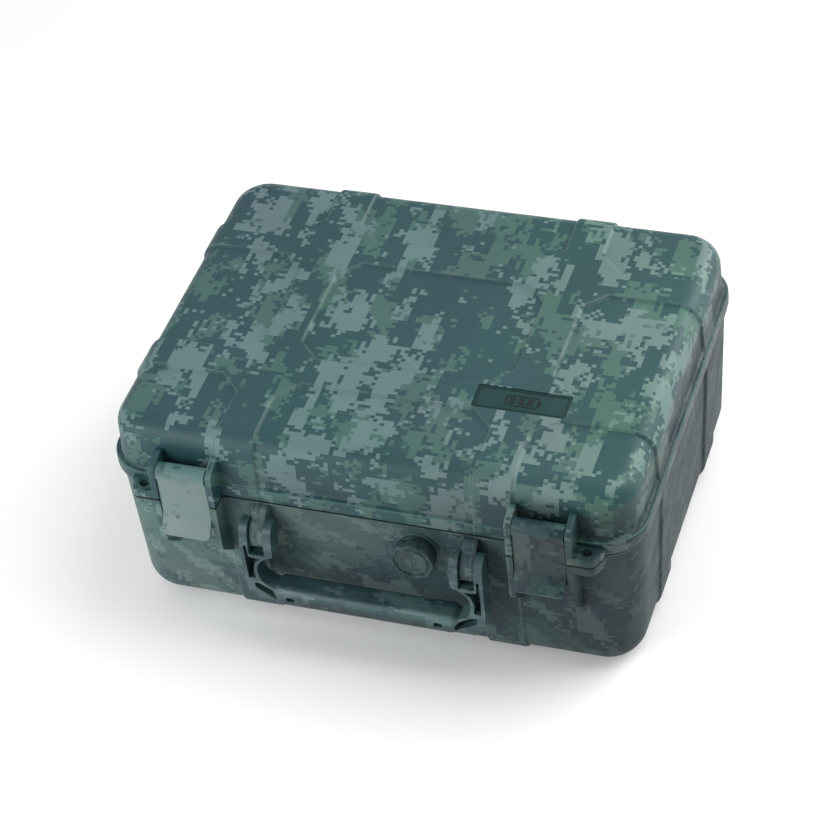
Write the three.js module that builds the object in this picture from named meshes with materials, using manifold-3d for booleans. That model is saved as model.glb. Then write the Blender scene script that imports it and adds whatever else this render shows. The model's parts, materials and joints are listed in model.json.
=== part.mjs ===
// Hard carrying case for LiPo battery packs: a moulded base and a hinged lid with raised
// ribs, two latches, two padlock eyes, a folding handle, a pressure valve and foam inside.
// Millimetres, +Z up, latches and handle at -Y. The origin is under the middle of the
// whole object's box, on the surface that the case stands on.
import * as THREE from 'three';
import { mergeVertices } from 'three/addons/utils/BufferGeometryUtils.js';
import Module from 'manifold-3d';

const wasm = await Module();
wasm.setup();

// ---------------------------------------------------------------- driving dimensions
const GAP = 0.3;               // clearance between neighbouring pieces
const HALF_X = 180;            // lid flange, half length
const HALF_Y = 138.5;          // lid flange, half depth
const HEIGHT = 163;            // top of the lid ribs
const SEAM_Z = 114.5;          // parting line between base and lid
const CORNER = 30;             // plan radius of the lid flange
const BASE_CORNER = 32;        // plan radius the base wall would have at the flange
const RIB = 1.9;               // height of the raised ribs
const WALL = 4.2;              // wall thickness
const RIM = 10.5;              // width of the thickened rims at the parting line
const FLANGE_TOP = 124.3;      // top of the lid flange
const LID_INSET = 4.1;         // lid wall behind the flange edge
const LID_DRAFT = 0.8;         // extra inset where the lid fillet starts
const LID_FILLET = 14.9;
const BASE_INSET = 2.3;        // base wall behind the flange edge
const BASE_DRAFT = 3.5;        // extra inset where the base fillet starts
const BASE_FILLET = 20.4;
const CORNER_STEPS = 6;        // segments in each rounded plan corner
const ARC_STEPS = 5;           // segments in each edge fillet

const RIB_X = { inner: 72.5, outer: 99 };                     // bands that run front to back
const RIB_Y = [{ low: -75, high: -49 }, { low: 50, high: 76 }]; // bands that run side to side
const CROTCH = 15;             // chamfer where two bands cross

const HINGE = { x: 86, y: 144.5, z: SEAM_Z, radius: 5.5, width: 50, knuckles: 5 };
const HINGE_PIN_RADIUS = 1.5;

const LATCH = { x: 119, y: -145.5, z: 136.2, barrel: 6, leverWidth: 33.4, earGap: 34.5, ear: 4.5 };
const LATCH_PIN_RADIUS = 1.5;
const EAR_FRONT = -151;        // front faces of the plates that guard the levers

const EYE = { x: 148.4, y: -144.3, radius: 3.2, top: 121, bottom: 107 };

const HANDLE = {
  y: -147, z: 98, halfWidth: 82, gripHalf: 58, lugX: 71, lugWidth: 10, slotWidth: 10.8,
};
const HANDLE_PIN_RADIUS = 2;

const VALVE = {
  x: 33, z: 91.5, boss: 14.4, bossFace: -137.2, disc: 13.2, discFace: -140.5, thread: 7, bore: 3.3,
};
const KNOB = { radius: 14.4, recess: 12, cap: 10.6, stem: 3, back: -140.8, face: -149.2, inner: -128 };

const PLATE = { x: 86, y: -62, width: 62, depth: 21, thick: 2.3, recess: 1.1 };

const SEAL = { outer: 3.4, inner: 8, depth: 4.5 };             // groove under the lid rim
const FLOOR_FOAM_TOP = 18;
const BLOCK_TOP = 112;
const LID_FOAM_BOTTOM = 116.5;
const FOAM_INSET = 13.6;
const BAYS = [                                                 // pockets for battery packs
  { x: -82.5, y: 60, width: 150, depth: 60 },
  { x: -82.5, y: -22.5, width: 150, depth: 60 },
  { x: 82.5, y: 18.75, width: 120, depth: 142.5 },
];

// ---------------------------------------------------------------- solids and placing
function toSolid(geometry) {
  const bare = geometry.clone();
  bare.deleteAttribute('normal');
  bare.deleteAttribute('uv');
  const merged = mergeVertices(bare, 1e-4);
  return new wasm.Manifold(new wasm.Mesh({
    numProp: 3,
    vertProperties: new Float32Array(merged.attributes.position.array),
    triVerts: new Uint32Array(merged.index.array),
  }));
}

function toGeometry(solid) {
  const mesh = solid.getMesh();
  const geometry = new THREE.BufferGeometry();
  geometry.setAttribute('position', new THREE.BufferAttribute(mesh.vertProperties, 3));
  geometry.setIndex(new THREE.BufferAttribute(mesh.triVerts, 1));
  geometry.computeVertexNormals();
  return geometry;
}

const union = (solids) => solids.reduce((sum, solid) => sum.add(solid));
const cut = (solid, tools) => tools.reduce((rest, tool) => rest.subtract(tool), solid);
const shapeOf = (points) => new THREE.Shape(points.map(([a, b]) => new THREE.Vector2(a, b)));

function extrude(points, depth, across, up, along) {
  const geometry = new THREE.ExtrudeGeometry(shapeOf(points), { depth, bevelEnabled: false });
  return geometry.applyMatrix4(new THREE.Matrix4().makeBasis(across, up, along));
}

const X = new THREE.Vector3(1, 0, 0);
const Y = new THREE.Vector3(0, 1, 0);
const Z = new THREE.Vector3(0, 0, 1);

// outline in (x, y), pulled up from z0 to z1
const slab = (points, z0, z1) => toSolid(extrude(points, z1 - z0, X, Y, Z).translate(0, 0, z0));
// outline in (y, z), pulled along X from x0 to x1
const sideways = (points, x0, x1) => toSolid(extrude(points, x1 - x0, Y, Z, X).translate(x0, 0, 0));
// outline in (x, z), pulled from yBack forward to yFront
const forward = (points, yFront, yBack) => toSolid(
  extrude(points, yBack - yFront, X, Z, Y.clone().negate()).translate(0, yBack, 0));

function box(x0, x1, y0, y1, z0, z1) {
  const geometry = new THREE.BoxGeometry(x1 - x0, y1 - y0, z1 - z0);
  return toSolid(geometry.translate((x0 + x1) / 2, (y0 + y1) / 2, (z0 + z1) / 2));
}

function rodAlongX(radius, x0, x1, y, z, sides = 16) {
  const geometry = new THREE.CylinderGeometry(radius, radius, x1 - x0, sides).rotateZ(Math.PI / 2);
  return toSolid(geometry.translate((x0 + x1) / 2, y, z));
}

function rodAlongY(radius, y0, y1, x, z, sides = 24) {
  const geometry = new THREE.CylinderGeometry(radius, radius, y1 - y0, sides);
  return toSolid(geometry.translate(x, (y0 + y1) / 2, z));
}

function rodAlongZ(radius, z0, z1, x, y, sides = 16) {
  const geometry = new THREE.CylinderGeometry(radius, radius, z1 - z0, sides).rotateX(Math.PI / 2);
  return toSolid(geometry.translate(x, y, (z0 + z1) / 2));
}

const mirrored = (solid) => solid.mirror([1, 0, 0]);

// ---------------------------------------------------------------- outlines
function arc(cx, cy, radius, from, to, steps) {
  return Array.from({ length: steps + 1 }, (_, i) => {
    const angle = THREE.MathUtils.degToRad(from + ((to - from) * i) / steps);
    return [cx + radius * Math.cos(angle), cy + radius * Math.sin(angle)];
  });
}

function roundedRectangle(halfX, halfY, radius, steps = CORNER_STEPS) {
  const quarters = [[1, 1], [-1, 1], [-1, -1], [1, -1]];
  return quarters.flatMap(([sx, sy], i) => (
    arc(sx * (halfX - radius), sy * (halfY - radius), radius, i * 90, i * 90 + 90, steps)));
}

// rounds every corner of a closed outline with a parabola of the given reach
function soften(points, reach, steps = 3) {
  return points.flatMap((corner, i) => {
    const before = points[(i + points.length - 1) % points.length];
    const after = points[(i + 1) % points.length];
    const here = new THREE.Vector2(...corner);
    const ends = [before, after].map((end) => {
      const span = new THREE.Vector2(...end).sub(here);
      return span.setLength(Math.min(reach, span.length() * 0.45)).add(here);
    });
    const curve = new THREE.QuadraticBezierCurve(ends[0], here, ends[1]);
    return curve.getPoints(steps).map((p) => [p.x, p.y]);
  });
}

// ---------------------------------------------------------------- lofted shells
// A profile is a list of { z, inset } from bottom to top. Each entry is a rounded rectangle
// that lies that far inside the lid flange edge.
function loft(profile, cornerAtFlange) {
  const rings = profile.map(({ z, inset }) => {
    const outline = roundedRectangle(HALF_X - inset, HALF_Y - inset, cornerAtFlange - inset);
    return outline.map(([x, y]) => [x, y, z]);
  });
  const count = rings[0].length;
  const top = (rings.length - 1) * count;
  const index = [];
  for (let ring = 0; ring < rings.length - 1; ring += 1) {
    for (let i = 0; i < count; i += 1) {
      const a = ring * count + i;
      const b = ring * count + ((i + 1) % count);
      index.push(a, b, b + count, a, b + count, a + count);
    }
  }
  for (let i = 1; i < count - 1; i += 1) {
    index.push(0, i + 1, i, top, top + i, top + i + 1);
  }
  const geometry = new THREE.BufferGeometry();
  geometry.setAttribute('position', new THREE.Float32BufferAttribute(rings.flat(2), 3));
  geometry.setIndex(index);
  return toSolid(geometry);
}

const LID_ARC = { z: HEIGHT - RIB - LID_FILLET, inset: LID_INSET + LID_DRAFT + LID_FILLET };
const BASE_ARC = { z: RIB + BASE_FILLET, inset: BASE_INSET + BASE_DRAFT + BASE_FILLET };

// lid wall and rounded top, moved outward by an offset (negative is inward)
function lidProfile(offset, bottom) {
  const fillet = arc(LID_ARC.inset, LID_ARC.z, LID_FILLET + offset, 180, 90, ARC_STEPS);
  return [
    { z: bottom, inset: LID_INSET - offset },
    ...fillet.map(([inset, z]) => ({ z, inset })),
  ];
}

// base floor, rounded edge and drafted wall, moved outward by an offset
function baseProfile(offset, top) {
  const fillet = arc(BASE_ARC.inset, BASE_ARC.z, BASE_FILLET + offset, 270, 180, ARC_STEPS);
  return [
    ...fillet.map(([inset, z]) => ({ z, inset })),
    { z: top, inset: BASE_INSET - offset },
  ];
}

const prism = (inset, z0, z1) => loft([{ z: z0, inset }, { z: z1, inset }], CORNER);

// ---------------------------------------------------------------- ribs
// raised bands seen from above: a wide # with chamfered corners where the bands cross
function ribGrid() {
  const reachX = HALF_X + 20;
  const reachY = HALF_Y + 20;
  const parts = [];
  const { inner, outer } = RIB_X;
  for (const side of [-1, 1]) {
    const [x0, x1] = side > 0 ? [inner, outer] : [-outer, -inner];
    parts.push(box(x0, x1, -reachY, reachY, -1, HEIGHT + 1));
    for (const { low, high } of RIB_Y) {
      const crossing = [
        [x0 - CROTCH, low], [x0, low - CROTCH], [x1, low - CROTCH], [x1 + CROTCH, low],
        [x1 + CROTCH, high], [x1, high + CROTCH], [x0, high + CROTCH], [x0 - CROTCH, high],
      ];
      parts.push(slab(crossing, -1, HEIGHT + 1));
    }
  }
  for (const { low, high } of RIB_Y) {
    parts.push(box(-reachX, reachX, low, high, -1, HEIGHT + 1));
  }
  return union(parts);
}

// ---------------------------------------------------------------- hinges
// one hinge has its knuckles side by side; even ones belong to the base, odd ones to the lid
function hingeKnuckles(parity) {
  const pitch = HINGE.width / HINGE.knuckles;
  const arm = parity === 0
    ? [[HALF_Y - 5, HINGE.z - 24], [HALF_Y - 5, HINGE.z - GAP / 2], [HINGE.y, HINGE.z - GAP / 2],
      [HINGE.y + HINGE.radius, HINGE.z], [HINGE.y + HINGE.radius, HINGE.z - 12]]
    : [[HALF_Y - 3, HINGE.z + GAP / 2], [HINGE.y, HINGE.z + GAP / 2],
      [HINGE.y, HINGE.z + HINGE.radius], [HALF_Y - 3, HINGE.z + 8.5]];
  const parts = [];
  for (let i = parity; i < HINGE.knuckles; i += 2) {
    const x0 = HINGE.x - HINGE.width / 2 + i * pitch + GAP / 2;
    const x1 = x0 + pitch - GAP;
    parts.push(sideways(arm, x0, x1).add(rodAlongX(HINGE.radius, x0, x1, HINGE.y, HINGE.z)));
  }
  return union(parts);
}

const hingeBore = () => rodAlongX(
  HINGE_PIN_RADIUS + GAP, HINGE.x - HINGE.width, HINGE.x + HINGE.width, HINGE.y, HINGE.z);

function hingePin() {
  const half = HINGE.width / 2 - 1;
  return rodAlongX(HINGE_PIN_RADIUS, HINGE.x - half, HINGE.x + half, HINGE.y, HINGE.z, 12);
}

// ---------------------------------------------------------------- latches
// ears that stand on both sides of the lever, in one outline per shell
function ears(outline) {
  const half = LATCH.earGap / 2;
  return union([-1, 1].map((side) => {
    const near = LATCH.x + side * half;
    const far = near + side * LATCH.ear;
    return sideways(outline, Math.min(near, far), Math.max(near, far));
  }));
}

function lidEars() {
  const seam = SEAM_Z + GAP / 2;
  const outline = [
    [-132, seam], [EAR_FRONT, seam], [EAR_FRONT, 139], [-147.5, 142.4], [-136.5, 145], [-132, 143.5],
  ];
  return ears(outline.reverse());
}

function baseEars() {
  const seam = SEAM_Z - GAP / 2;
  return ears([[-132.5, seam], [EAR_FRONT, seam], [EAR_FRONT, 77], [-132.5, 58.5]]);
}

function latchCatch() {
  const half = LATCH.earGap / 2 + 1;
  const outline = [
    [-132.5, 109], [-141, 109], [-144.5, 104], [-144.5, 98.5], [-141, 96], [-132.5, 96],
  ];
  return sideways(outline, LATCH.x - half, LATCH.x + half);
}

const latchBore = () => rodAlongX(
  LATCH_PIN_RADIUS + GAP, LATCH.x - 30, LATCH.x + 30, LATCH.y, LATCH.z);

// barrel round the pin, flat plate in front of the catch, hooked lip and flared thumb tab
function latchLever() {
  const half = LATCH.leverWidth / 2;
  const outline = [
    [-150, 133], [-150, 104], [-152.2, 101], [-158, 91.5], [-157.6, 89.6], [-155.6, 89.4],
    [-150, 96], [-146.8, 93.6], [-144.9, 92], [-144.9, 95.4], [-146.4, 98], [-146.4, 133],
  ];
  const barrel = rodAlongX(LATCH.barrel, LATCH.x - half, LATCH.x + half, LATCH.y, LATCH.z, 20);
  const blank = sideways(outline, LATCH.x - half, LATCH.x + half).add(barrel);
  const front = roundedFront(half);
  return blank.intersect(front).subtract(latchBore());
}

// front view of the lever: square top, thumb tab with rounded lower corners
function roundedFront(half) {
  const lowered = arc(LATCH.x - half + 6, 94, 6, 180, 250, 4);
  const other = arc(LATCH.x + half - 6, 94, 6, 290, 360, 4);
  const outline = [...lowered, ...other, [LATCH.x + half, 150], [LATCH.x - half, 150]];
  return forward(outline, -170, -130);
}

function latchPin() {
  const half = LATCH.earGap / 2 + LATCH.ear - 1;
  return rodAlongX(LATCH_PIN_RADIUS, LATCH.x - half, LATCH.x + half, LATCH.y, LATCH.z, 12);
}

// ---------------------------------------------------------------- padlock eyes
function padlockTab(z0, z1) {
  const outline = [[139, -132.5], [139, -151], [153.6, -151], [158, -141], [158, -132.5]];
  return slab(outline, z0, z1);
}

const padlockBore = () => rodAlongZ(EYE.radius, EYE.bottom - 5, EYE.top + 5, EYE.x, EYE.y);

// ---------------------------------------------------------------- handle
// tongues on the base that carry the handle pins
function handleLug() {
  const half = HANDLE.lugWidth / 2;
  const outline = [
    [-132.5, 95], [-132.5, 111.5], [-141, 111.5], [-144, 109.5], [-145.6, 105.8], [-150.2, 104],
    [-153.4, 99], [-154.2, 94], [-153.6, 88], [-146.5, 88], [-142, 93],
  ];
  return sideways(outline.reverse(), HANDLE.lugX - half, HANDLE.lugX + half);
}

const handleBore = (margin) => rodAlongX(
  HANDLE_PIN_RADIUS + margin, HANDLE.lugX - 20, HANDLE.lugX + 20, HANDLE.y, HANDLE.z);

function handlePin() {
  const half = HANDLE.halfWidth - HANDLE.lugX - 1;
  return rodAlongX(HANDLE_PIN_RADIUS, HANDLE.lugX - half, HANDLE.lugX + half, HANDLE.y, HANDLE.z, 12);
}

// right half of the handle seen from the front, arm and corner, without its pockets
function handleArm() {
  const edge = HANDLE.halfWidth;
  const outer = [
    [60, HANDLE.z + 9], [60, 83], [66.5, 80.5], [71, 75.5], [72.5, 69], [71.4, 61], [66.5, 55.5],
    [58, 54], [50, 54], [50, 40.5], [72, 40.5], [edge - 2, 46], [edge, 56], [edge, HANDLE.z + 9],
  ];
  const plate = forward(outer, -157, -144.5);
  const capped = arc(HANDLE.y, HANDLE.z, 8.8, 0, 180, 8);
  const side = [...capped, [-157, HANDLE.z - 6], [-157, 42], [-155, 40], [-146, 40], [-144.5, 42],
    [-144.5, HANDLE.z - 12], [HANDLE.y + 8.8, HANDLE.z - 6]];
  return plate.intersect(sideways(side, 40, edge + 1));
}

// the bar that the hand holds; it stands proud of the arms and narrows to meet them
function handleGrip() {
  const bar = [
    [-143, 45], [-145.5, 42.6], [-158.8, 42.6], [-161, 45], [-161, 53.6], [-158.6, 56.8],
    [-146, 57.2], [-143, 55.5],
  ];
  const arm = [[-145, 43], [-147, 41.5], [-154, 41.5], [-156.5, 43], [-156.5, 52], [-145, 52]];
  const halfBar = HANDLE.gripHalf;
  const end = sideways([...bar].reverse(), halfBar - 0.5, halfBar);
  const inArm = sideways([...arm].reverse(), halfBar + 6.5, halfBar + 7);
  const taper = end.add(inArm).hull();
  return union([sideways([...bar].reverse(), -halfBar, halfBar), taper, mirrored(taper)]);
}

function handlePockets() {
  const web = -148.5;
  const long = [
    [79.8, 91], [77.6, 91], [77.3, 81], [68.5, 80], [73, 77], [75, 69], [74.2, 63], [79.4, 62],
  ];
  const corner = [[76, 57.5], [72.5, 57.5], [61, 50.5], [61, 46], [64, 46], [76, 53]];
  const small = [[53.5, 52], [47.5, 52], [47.5, 48.5], [53.5, 48.5]];
  const slot = HANDLE.slotWidth / 2;
  return [
    forward(long.reverse(), -170, web),
    forward(corner, -170, web),
    forward(soften(small, 1.4, 2), -170, -158.6),
    box(HANDLE.lugX - slot, HANDLE.lugX + slot, -170, -130, 83.5, HANDLE.z + 20),
    handleBore(GAP),
  ];
}

function carryHandle() {
  const arm = handleArm();
  const body = union([arm, mirrored(arm), handleGrip()]);
  const pockets = handlePockets();
  return cut(body, [...pockets, ...pockets.map(mirrored)]);
}

// ---------------------------------------------------------------- pressure valve
const valveBore = (radius) => rodAlongY(radius, -150, -120, VALVE.x, VALVE.z);

function valveBoss() {
  return rodAlongY(VALVE.boss, VALVE.bossFace, -132.5, VALVE.x, VALVE.z);
}

function valveRing(outer, inner, y0, y1) {
  const disc = rodAlongY(outer, y0, y1, VALVE.x, VALVE.z);
  return disc.subtract(rodAlongY(inner, y0 - 1, y1 + 1, VALVE.x, VALVE.z));
}

function valveBody() {
  const disc = rodAlongY(VALVE.disc, VALVE.discFace, VALVE.bossFace - GAP, VALVE.x, VALVE.z);
  const thread = rodAlongY(VALVE.thread, -138, -125.5, VALVE.x, VALVE.z);
  return disc.add(thread).subtract(rodAlongY(VALVE.bore, -142, -120, VALVE.x, VALVE.z, 16));
}

// eight-sided knob with a raised round middle inside its rim and a stem in the body's bore
function valveKnob() {
  const { back, face } = KNOB;
  const turned = (radius, y0, y1, sides) => rodAlongY(radius, y0, y1, VALVE.x, VALVE.z, sides);
  const recess = turned(KNOB.recess, face - 1, face + 1, 24);
  const cap = turned(KNOB.cap, face + 0.2, back, 24);
  const stem = turned(KNOB.stem, back - 1, KNOB.inner, 12);
  return turned(KNOB.radius, face, back, 8).subtract(recess).add(cap).add(stem);
}

function valveNut() {
  return rodAlongY(11, -130.1, -126.4, VALVE.x, VALVE.z, 6).subtract(valveBore(VALVE.thread + GAP));
}

// ---------------------------------------------------------------- shells
function lidGroove() {
  const { outer, inner, depth } = SEAL;
  const top = SEAM_Z + GAP / 2 + depth;
  return prism(outer, SEAM_Z - 1, top).subtract(prism(inner, SEAM_Z - 2, top + 1));
}

function sealRing() {
  const z1 = SEAM_Z + GAP / 2 + SEAL.depth - GAP;
  const z0 = z1 - 1.8;
  return prism(SEAL.outer + GAP, z0, z1).subtract(prism(SEAL.inner - GAP, z0 - 1, z1 + 1));
}

function baseTongue() {
  const z1 = SEAM_Z + 2.1;
  return prism(4.7, SEAM_Z - 2, z1).subtract(prism(6.7, SEAM_Z - 3, z1 + 1));
}

function plateRecess(margin, z0, z1) {
  const halfX = PLATE.width / 2 + margin;
  const halfY = PLATE.depth / 2 + margin;
  const outline = roundedRectangle(halfX, halfY, 2, 3);
  return slab(outline.map(([x, y]) => [x + PLATE.x, y + PLATE.y]), z0, z1);
}

function namePlate() {
  const back = HEIGHT - RIB - PLATE.recess + GAP;
  return plateRecess(0, back, back + PLATE.thick);
}

function lidShell(ribs) {
  const bottom = SEAM_Z + GAP / 2;
  const flange = loft([
    { z: bottom, inset: 0.6 }, { z: bottom + 0.6, inset: 0 },
    { z: FLANGE_TOP - 0.6, inset: 0 }, { z: FLANGE_TOP, inset: 0.6 },
  ], CORNER);
  const body = loft(lidProfile(0, FLANGE_TOP - 2), CORNER);
  const ribbed = loft(lidProfile(RIB, FLANGE_TOP - 2), CORNER).intersect(ribs);
  const hollow = loft(lidProfile(-WALL, SEAM_Z + 9), CORNER);
  const mounts = [lidEars(), padlockTab(bottom, EYE.top), hingeKnuckles(1)];
  const bores = [latchBore(), padlockBore(), hingeBore()];
  const solid = union([flange, body, ribbed, ...mounts, ...mounts.map(mirrored)]);
  const plateFloor = HEIGHT - RIB - PLATE.recess;
  return cut(solid, [
    hollow, prism(RIM, SEAM_Z - 5, SEAM_Z + 9.5), lidGroove(),
    plateRecess(GAP, plateFloor, HEIGHT + 5), ...bores, ...bores.map(mirrored),
  ]);
}

function baseShell(ribs) {
  const top = SEAM_Z - GAP / 2;
  const body = loft(baseProfile(0, top), BASE_CORNER);
  const ribbed = loft(baseProfile(RIB, top), BASE_CORNER).intersect(ribs);
  const hollow = loft(baseProfile(-WALL, SEAM_Z - 8), BASE_CORNER);
  const mounts = [baseEars(), latchCatch(), padlockTab(EYE.bottom, top), hingeKnuckles(0), handleLug()];
  const bores = [padlockBore(), hingeBore(), handleBore(GAP)];
  const solid = union([body, ribbed, baseTongue(), valveBoss(), ...mounts, ...mounts.map(mirrored)]);
  return cut(solid, [
    hollow, prism(RIM, SEAM_Z - 8.5, SEAM_Z + 5), valveBore(VALVE.thread + GAP),
    valveRing(12.6, 9.2, VALVE.bossFace - 1, VALVE.bossFace + 1.5),
    ...bores, ...bores.map(mirrored),
  ]);
}

// ---------------------------------------------------------------- foam
function floorFoam() {
  const inside = loft(baseProfile(-WALL - 0.5, FLOOR_FOAM_TOP + 5), BASE_CORNER);
  return inside.intersect(box(-HALF_X, HALF_X, -HALF_Y, HALF_Y, 0, FLOOR_FOAM_TOP));
}

function foamBlock() {
  const solid = prism(FOAM_INSET, FLOOR_FOAM_TOP + 0.5, BLOCK_TOP);
  const bays = BAYS.map(({ x, y, width, depth }) => box(
    x - width / 2, x + width / 2, y - depth / 2, y + depth / 2, 0, BLOCK_TOP + 1));
  return cut(solid, bays);
}

function lidFoam() {
  const inside = loft(lidProfile(-WALL - 0.5, LID_FOAM_BOTTOM), CORNER);
  return inside.intersect(prism(FOAM_INSET - 2, LID_FOAM_BOTTOM, HEIGHT));
}

// ---------------------------------------------------------------- materials and scene
const plastic = new THREE.MeshStandardMaterial({ color: 0x4a605c, roughness: 0.55 });
const darkPlastic = new THREE.MeshStandardMaterial({ color: 0x2c4340, roughness: 0.5 });
const palePlastic = new THREE.MeshStandardMaterial({ color: 0x84948f, roughness: 0.5 });
const steel = new THREE.MeshStandardMaterial({ color: 0xb8bcc0, roughness: 0.3, metalness: 1 });
const rubber = new THREE.MeshStandardMaterial({ color: 0x15171a, roughness: 0.8 });
const foam = new THREE.MeshStandardMaterial({ color: 0x2a2c2e, roughness: 1 });

const hardCase = new THREE.Group();

function piece(name, solid, material) {
  const mesh = new THREE.Mesh(toGeometry(solid), material);
  mesh.name = name;
  hardCase.add(mesh);
}

function pair(name, solid, material) {
  piece(`${name}_right`, solid, material);
  piece(`${name}_left`, mirrored(solid), material);
}

const ribs = ribGrid();
piece('base_shell', baseShell(ribs), plastic);
piece('lid_shell', lidShell(ribs), plastic);
piece('name_plate', namePlate(), darkPlastic);
piece('lid_seal', sealRing(), rubber);
piece('floor_foam', floorFoam(), foam);
piece('battery_foam', foamBlock(), foam);
piece('lid_foam', lidFoam(), foam);
pair('latch_lever', latchLever(), palePlastic);
pair('latch_pin', latchPin(), steel);
pair('hinge_pin', hingePin(), steel);
piece('carry_handle', carryHandle(), plastic);
pair('handle_pin', handlePin(), steel);
piece('valve_body', valveBody(), plastic);
piece('valve_o_ring', valveRing(12.3, 9.5, VALVE.bossFace + 0.1, VALVE.bossFace + 1.2), rubber);
piece('valve_nut', valveNut(), darkPlastic);
piece('valve_knob', valveKnob(), plastic);

// put the middle of the whole box over the origin
const bounds = new THREE.Box3().setFromObject(hardCase);
hardCase.position.y = -(bounds.min.y + bounds.max.y) / 2;

export default hardCase;
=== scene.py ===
"""Looks of the hard battery case: smooth moulded shells, fittings, foam and camouflage film.

Shapes are worked out in millimetres in the case's own coordinates: X along the length,
Y from the handle to the hinges with 0 at the middle of the lid flange, Z up from the feet.
put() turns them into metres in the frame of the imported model.
"""
import json
import math

import bmesh
import bpy
import numpy as np
from mathutils import Matrix, Vector


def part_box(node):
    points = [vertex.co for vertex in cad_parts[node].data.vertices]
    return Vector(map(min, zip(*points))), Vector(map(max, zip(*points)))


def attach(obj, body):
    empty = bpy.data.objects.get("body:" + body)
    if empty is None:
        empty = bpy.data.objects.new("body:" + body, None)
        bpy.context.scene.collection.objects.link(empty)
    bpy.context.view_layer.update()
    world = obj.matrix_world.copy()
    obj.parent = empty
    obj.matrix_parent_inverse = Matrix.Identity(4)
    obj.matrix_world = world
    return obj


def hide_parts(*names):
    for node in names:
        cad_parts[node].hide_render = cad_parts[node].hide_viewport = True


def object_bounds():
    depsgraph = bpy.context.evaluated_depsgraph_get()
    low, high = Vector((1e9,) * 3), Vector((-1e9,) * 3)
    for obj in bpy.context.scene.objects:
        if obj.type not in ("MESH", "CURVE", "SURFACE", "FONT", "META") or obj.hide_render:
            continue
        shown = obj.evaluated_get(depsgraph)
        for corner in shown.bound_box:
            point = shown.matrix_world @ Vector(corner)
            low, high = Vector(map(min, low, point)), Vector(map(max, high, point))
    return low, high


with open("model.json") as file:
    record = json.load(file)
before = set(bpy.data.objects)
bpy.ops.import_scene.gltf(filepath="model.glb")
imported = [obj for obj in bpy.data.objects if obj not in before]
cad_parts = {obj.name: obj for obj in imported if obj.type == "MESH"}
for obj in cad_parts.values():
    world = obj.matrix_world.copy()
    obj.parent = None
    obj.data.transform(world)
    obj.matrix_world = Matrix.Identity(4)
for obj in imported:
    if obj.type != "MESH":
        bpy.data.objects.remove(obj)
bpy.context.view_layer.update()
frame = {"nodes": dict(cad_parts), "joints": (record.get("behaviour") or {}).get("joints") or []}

# ---------------------------- sizes, in millimetres
MM = 0.001
HALF_X = 180.0
HALF_Y = 138.5
HEIGHT = 163.0
SEAM = 114.5
LID_CORE = 30.0            # plan corner centres of the lid lie this far inside the flange
BASE_CORE = 32.0
RIB = 1.9
WALL = 4.2
GAP = 0.3
RIM = 10.5
FLANGE_TOP = 124.3
LID_INSET, LID_DRAFT, LID_FILLET = 4.1, 0.8, 14.9
BASE_INSET, BASE_DRAFT, BASE_FILLET = 2.3, 3.5, 20.4
RIB_X = (72.5, 99.0)
RIB_Y = ((-75.0, -49.0), (50.0, 76.0))
CROTCH = 15.0
RIB_EDGE = 1.1             # half width of the soft step at a rib's edge

HINGE_X, HINGE_RADIUS, HINGE_WIDTH, KNUCKLES = 86.0, 5.5, 50.0, 5
LATCH_X, LATCH_BARREL, LEVER_WIDTH, EAR_GAP, EAR = 119.0, 6.0, 33.4, 34.5, 4.5
EAR_FRONT = -151.0
EYE_X, EYE_Y, EYE_RADIUS, EYE_TOP, EYE_BOTTOM = 148.4, -144.3, 3.2, 121.0, 107.0
LUG_X, LUG_WIDTH, SLOT_WIDTH, HANDLE_HALF, GRIP_HALF = 71.0, 10.0, 10.8, 82.0, 58.0
VALVE_X, VALVE_Z, BOSS_RADIUS, BOSS_FACE = 33.0, 91.5, 14.4, -137.2
THREAD_RADIUS, DISC_RADIUS, STEM_RADIUS = 7.0, 13.2, 3.0
PIN_RADIUS, HANDLE_PIN_RADIUS = 1.5, 2.0
PLATE_X, PLATE_Y, PLATE_WIDTH, PLATE_DEPTH = 86.0, -62.0, 62.0, 21.0
PLATE_RECESS = 1.1
SKIN = 0.7                 # the film closes the outer ends of the latch and handle bores
SIDES = ((1, "right"), (-1, "left"))
CLEAR = 5.0                # how far a cutter reaches past what it cuts


def middle(node):
    """Middle of a CAD node's box, in metres."""
    low, high = (Vector(corner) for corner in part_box(node))
    return (low + high) / 2


SHIFT = middle("lid_seal").y / MM          # the seal is centred on the flange


def joint_line(name):
    """(y, z) of a joint that turns about X, in millimetres of the case's coordinates."""
    joint = next(j for j in frame["joints"] if j["name"] == name)
    return joint["pos_m"][1] / MM - SHIFT, joint["pos_m"][2] / MM


HINGE_Y, HINGE_Z = joint_line("lid_hinge")
LATCH_Y, LATCH_Z = joint_line("latch_right_swing")
PIVOT_Y, PIVOT_Z = joint_line("handle_swing")


# ---------------------------- meshes and objects
def put(points):
    """Case millimetres to frame metres."""
    return (np.asarray(points, float) + (0.0, SHIFT, 0.0)) * MM


def new_object(name, points, faces):
    mesh = bpy.data.meshes.new(name)
    mesh.from_pydata(put(points).tolist(), [], [list(face) for face in faces])
    mesh.update()
    obj = bpy.data.objects.new(name, mesh)
    bpy.context.scene.collection.objects.link(obj)
    return obj


def outward(obj, merge=0.001):
    """Turns every face outward and merges points that lie closer than merge millimetres."""
    work = bmesh.new()
    work.from_mesh(obj.data)
    bmesh.ops.remove_doubles(work, verts=work.verts, dist=merge * MM)
    bmesh.ops.recalc_face_normals(work, faces=work.faces)
    work.to_mesh(obj.data)
    work.free()
    return obj


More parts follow.
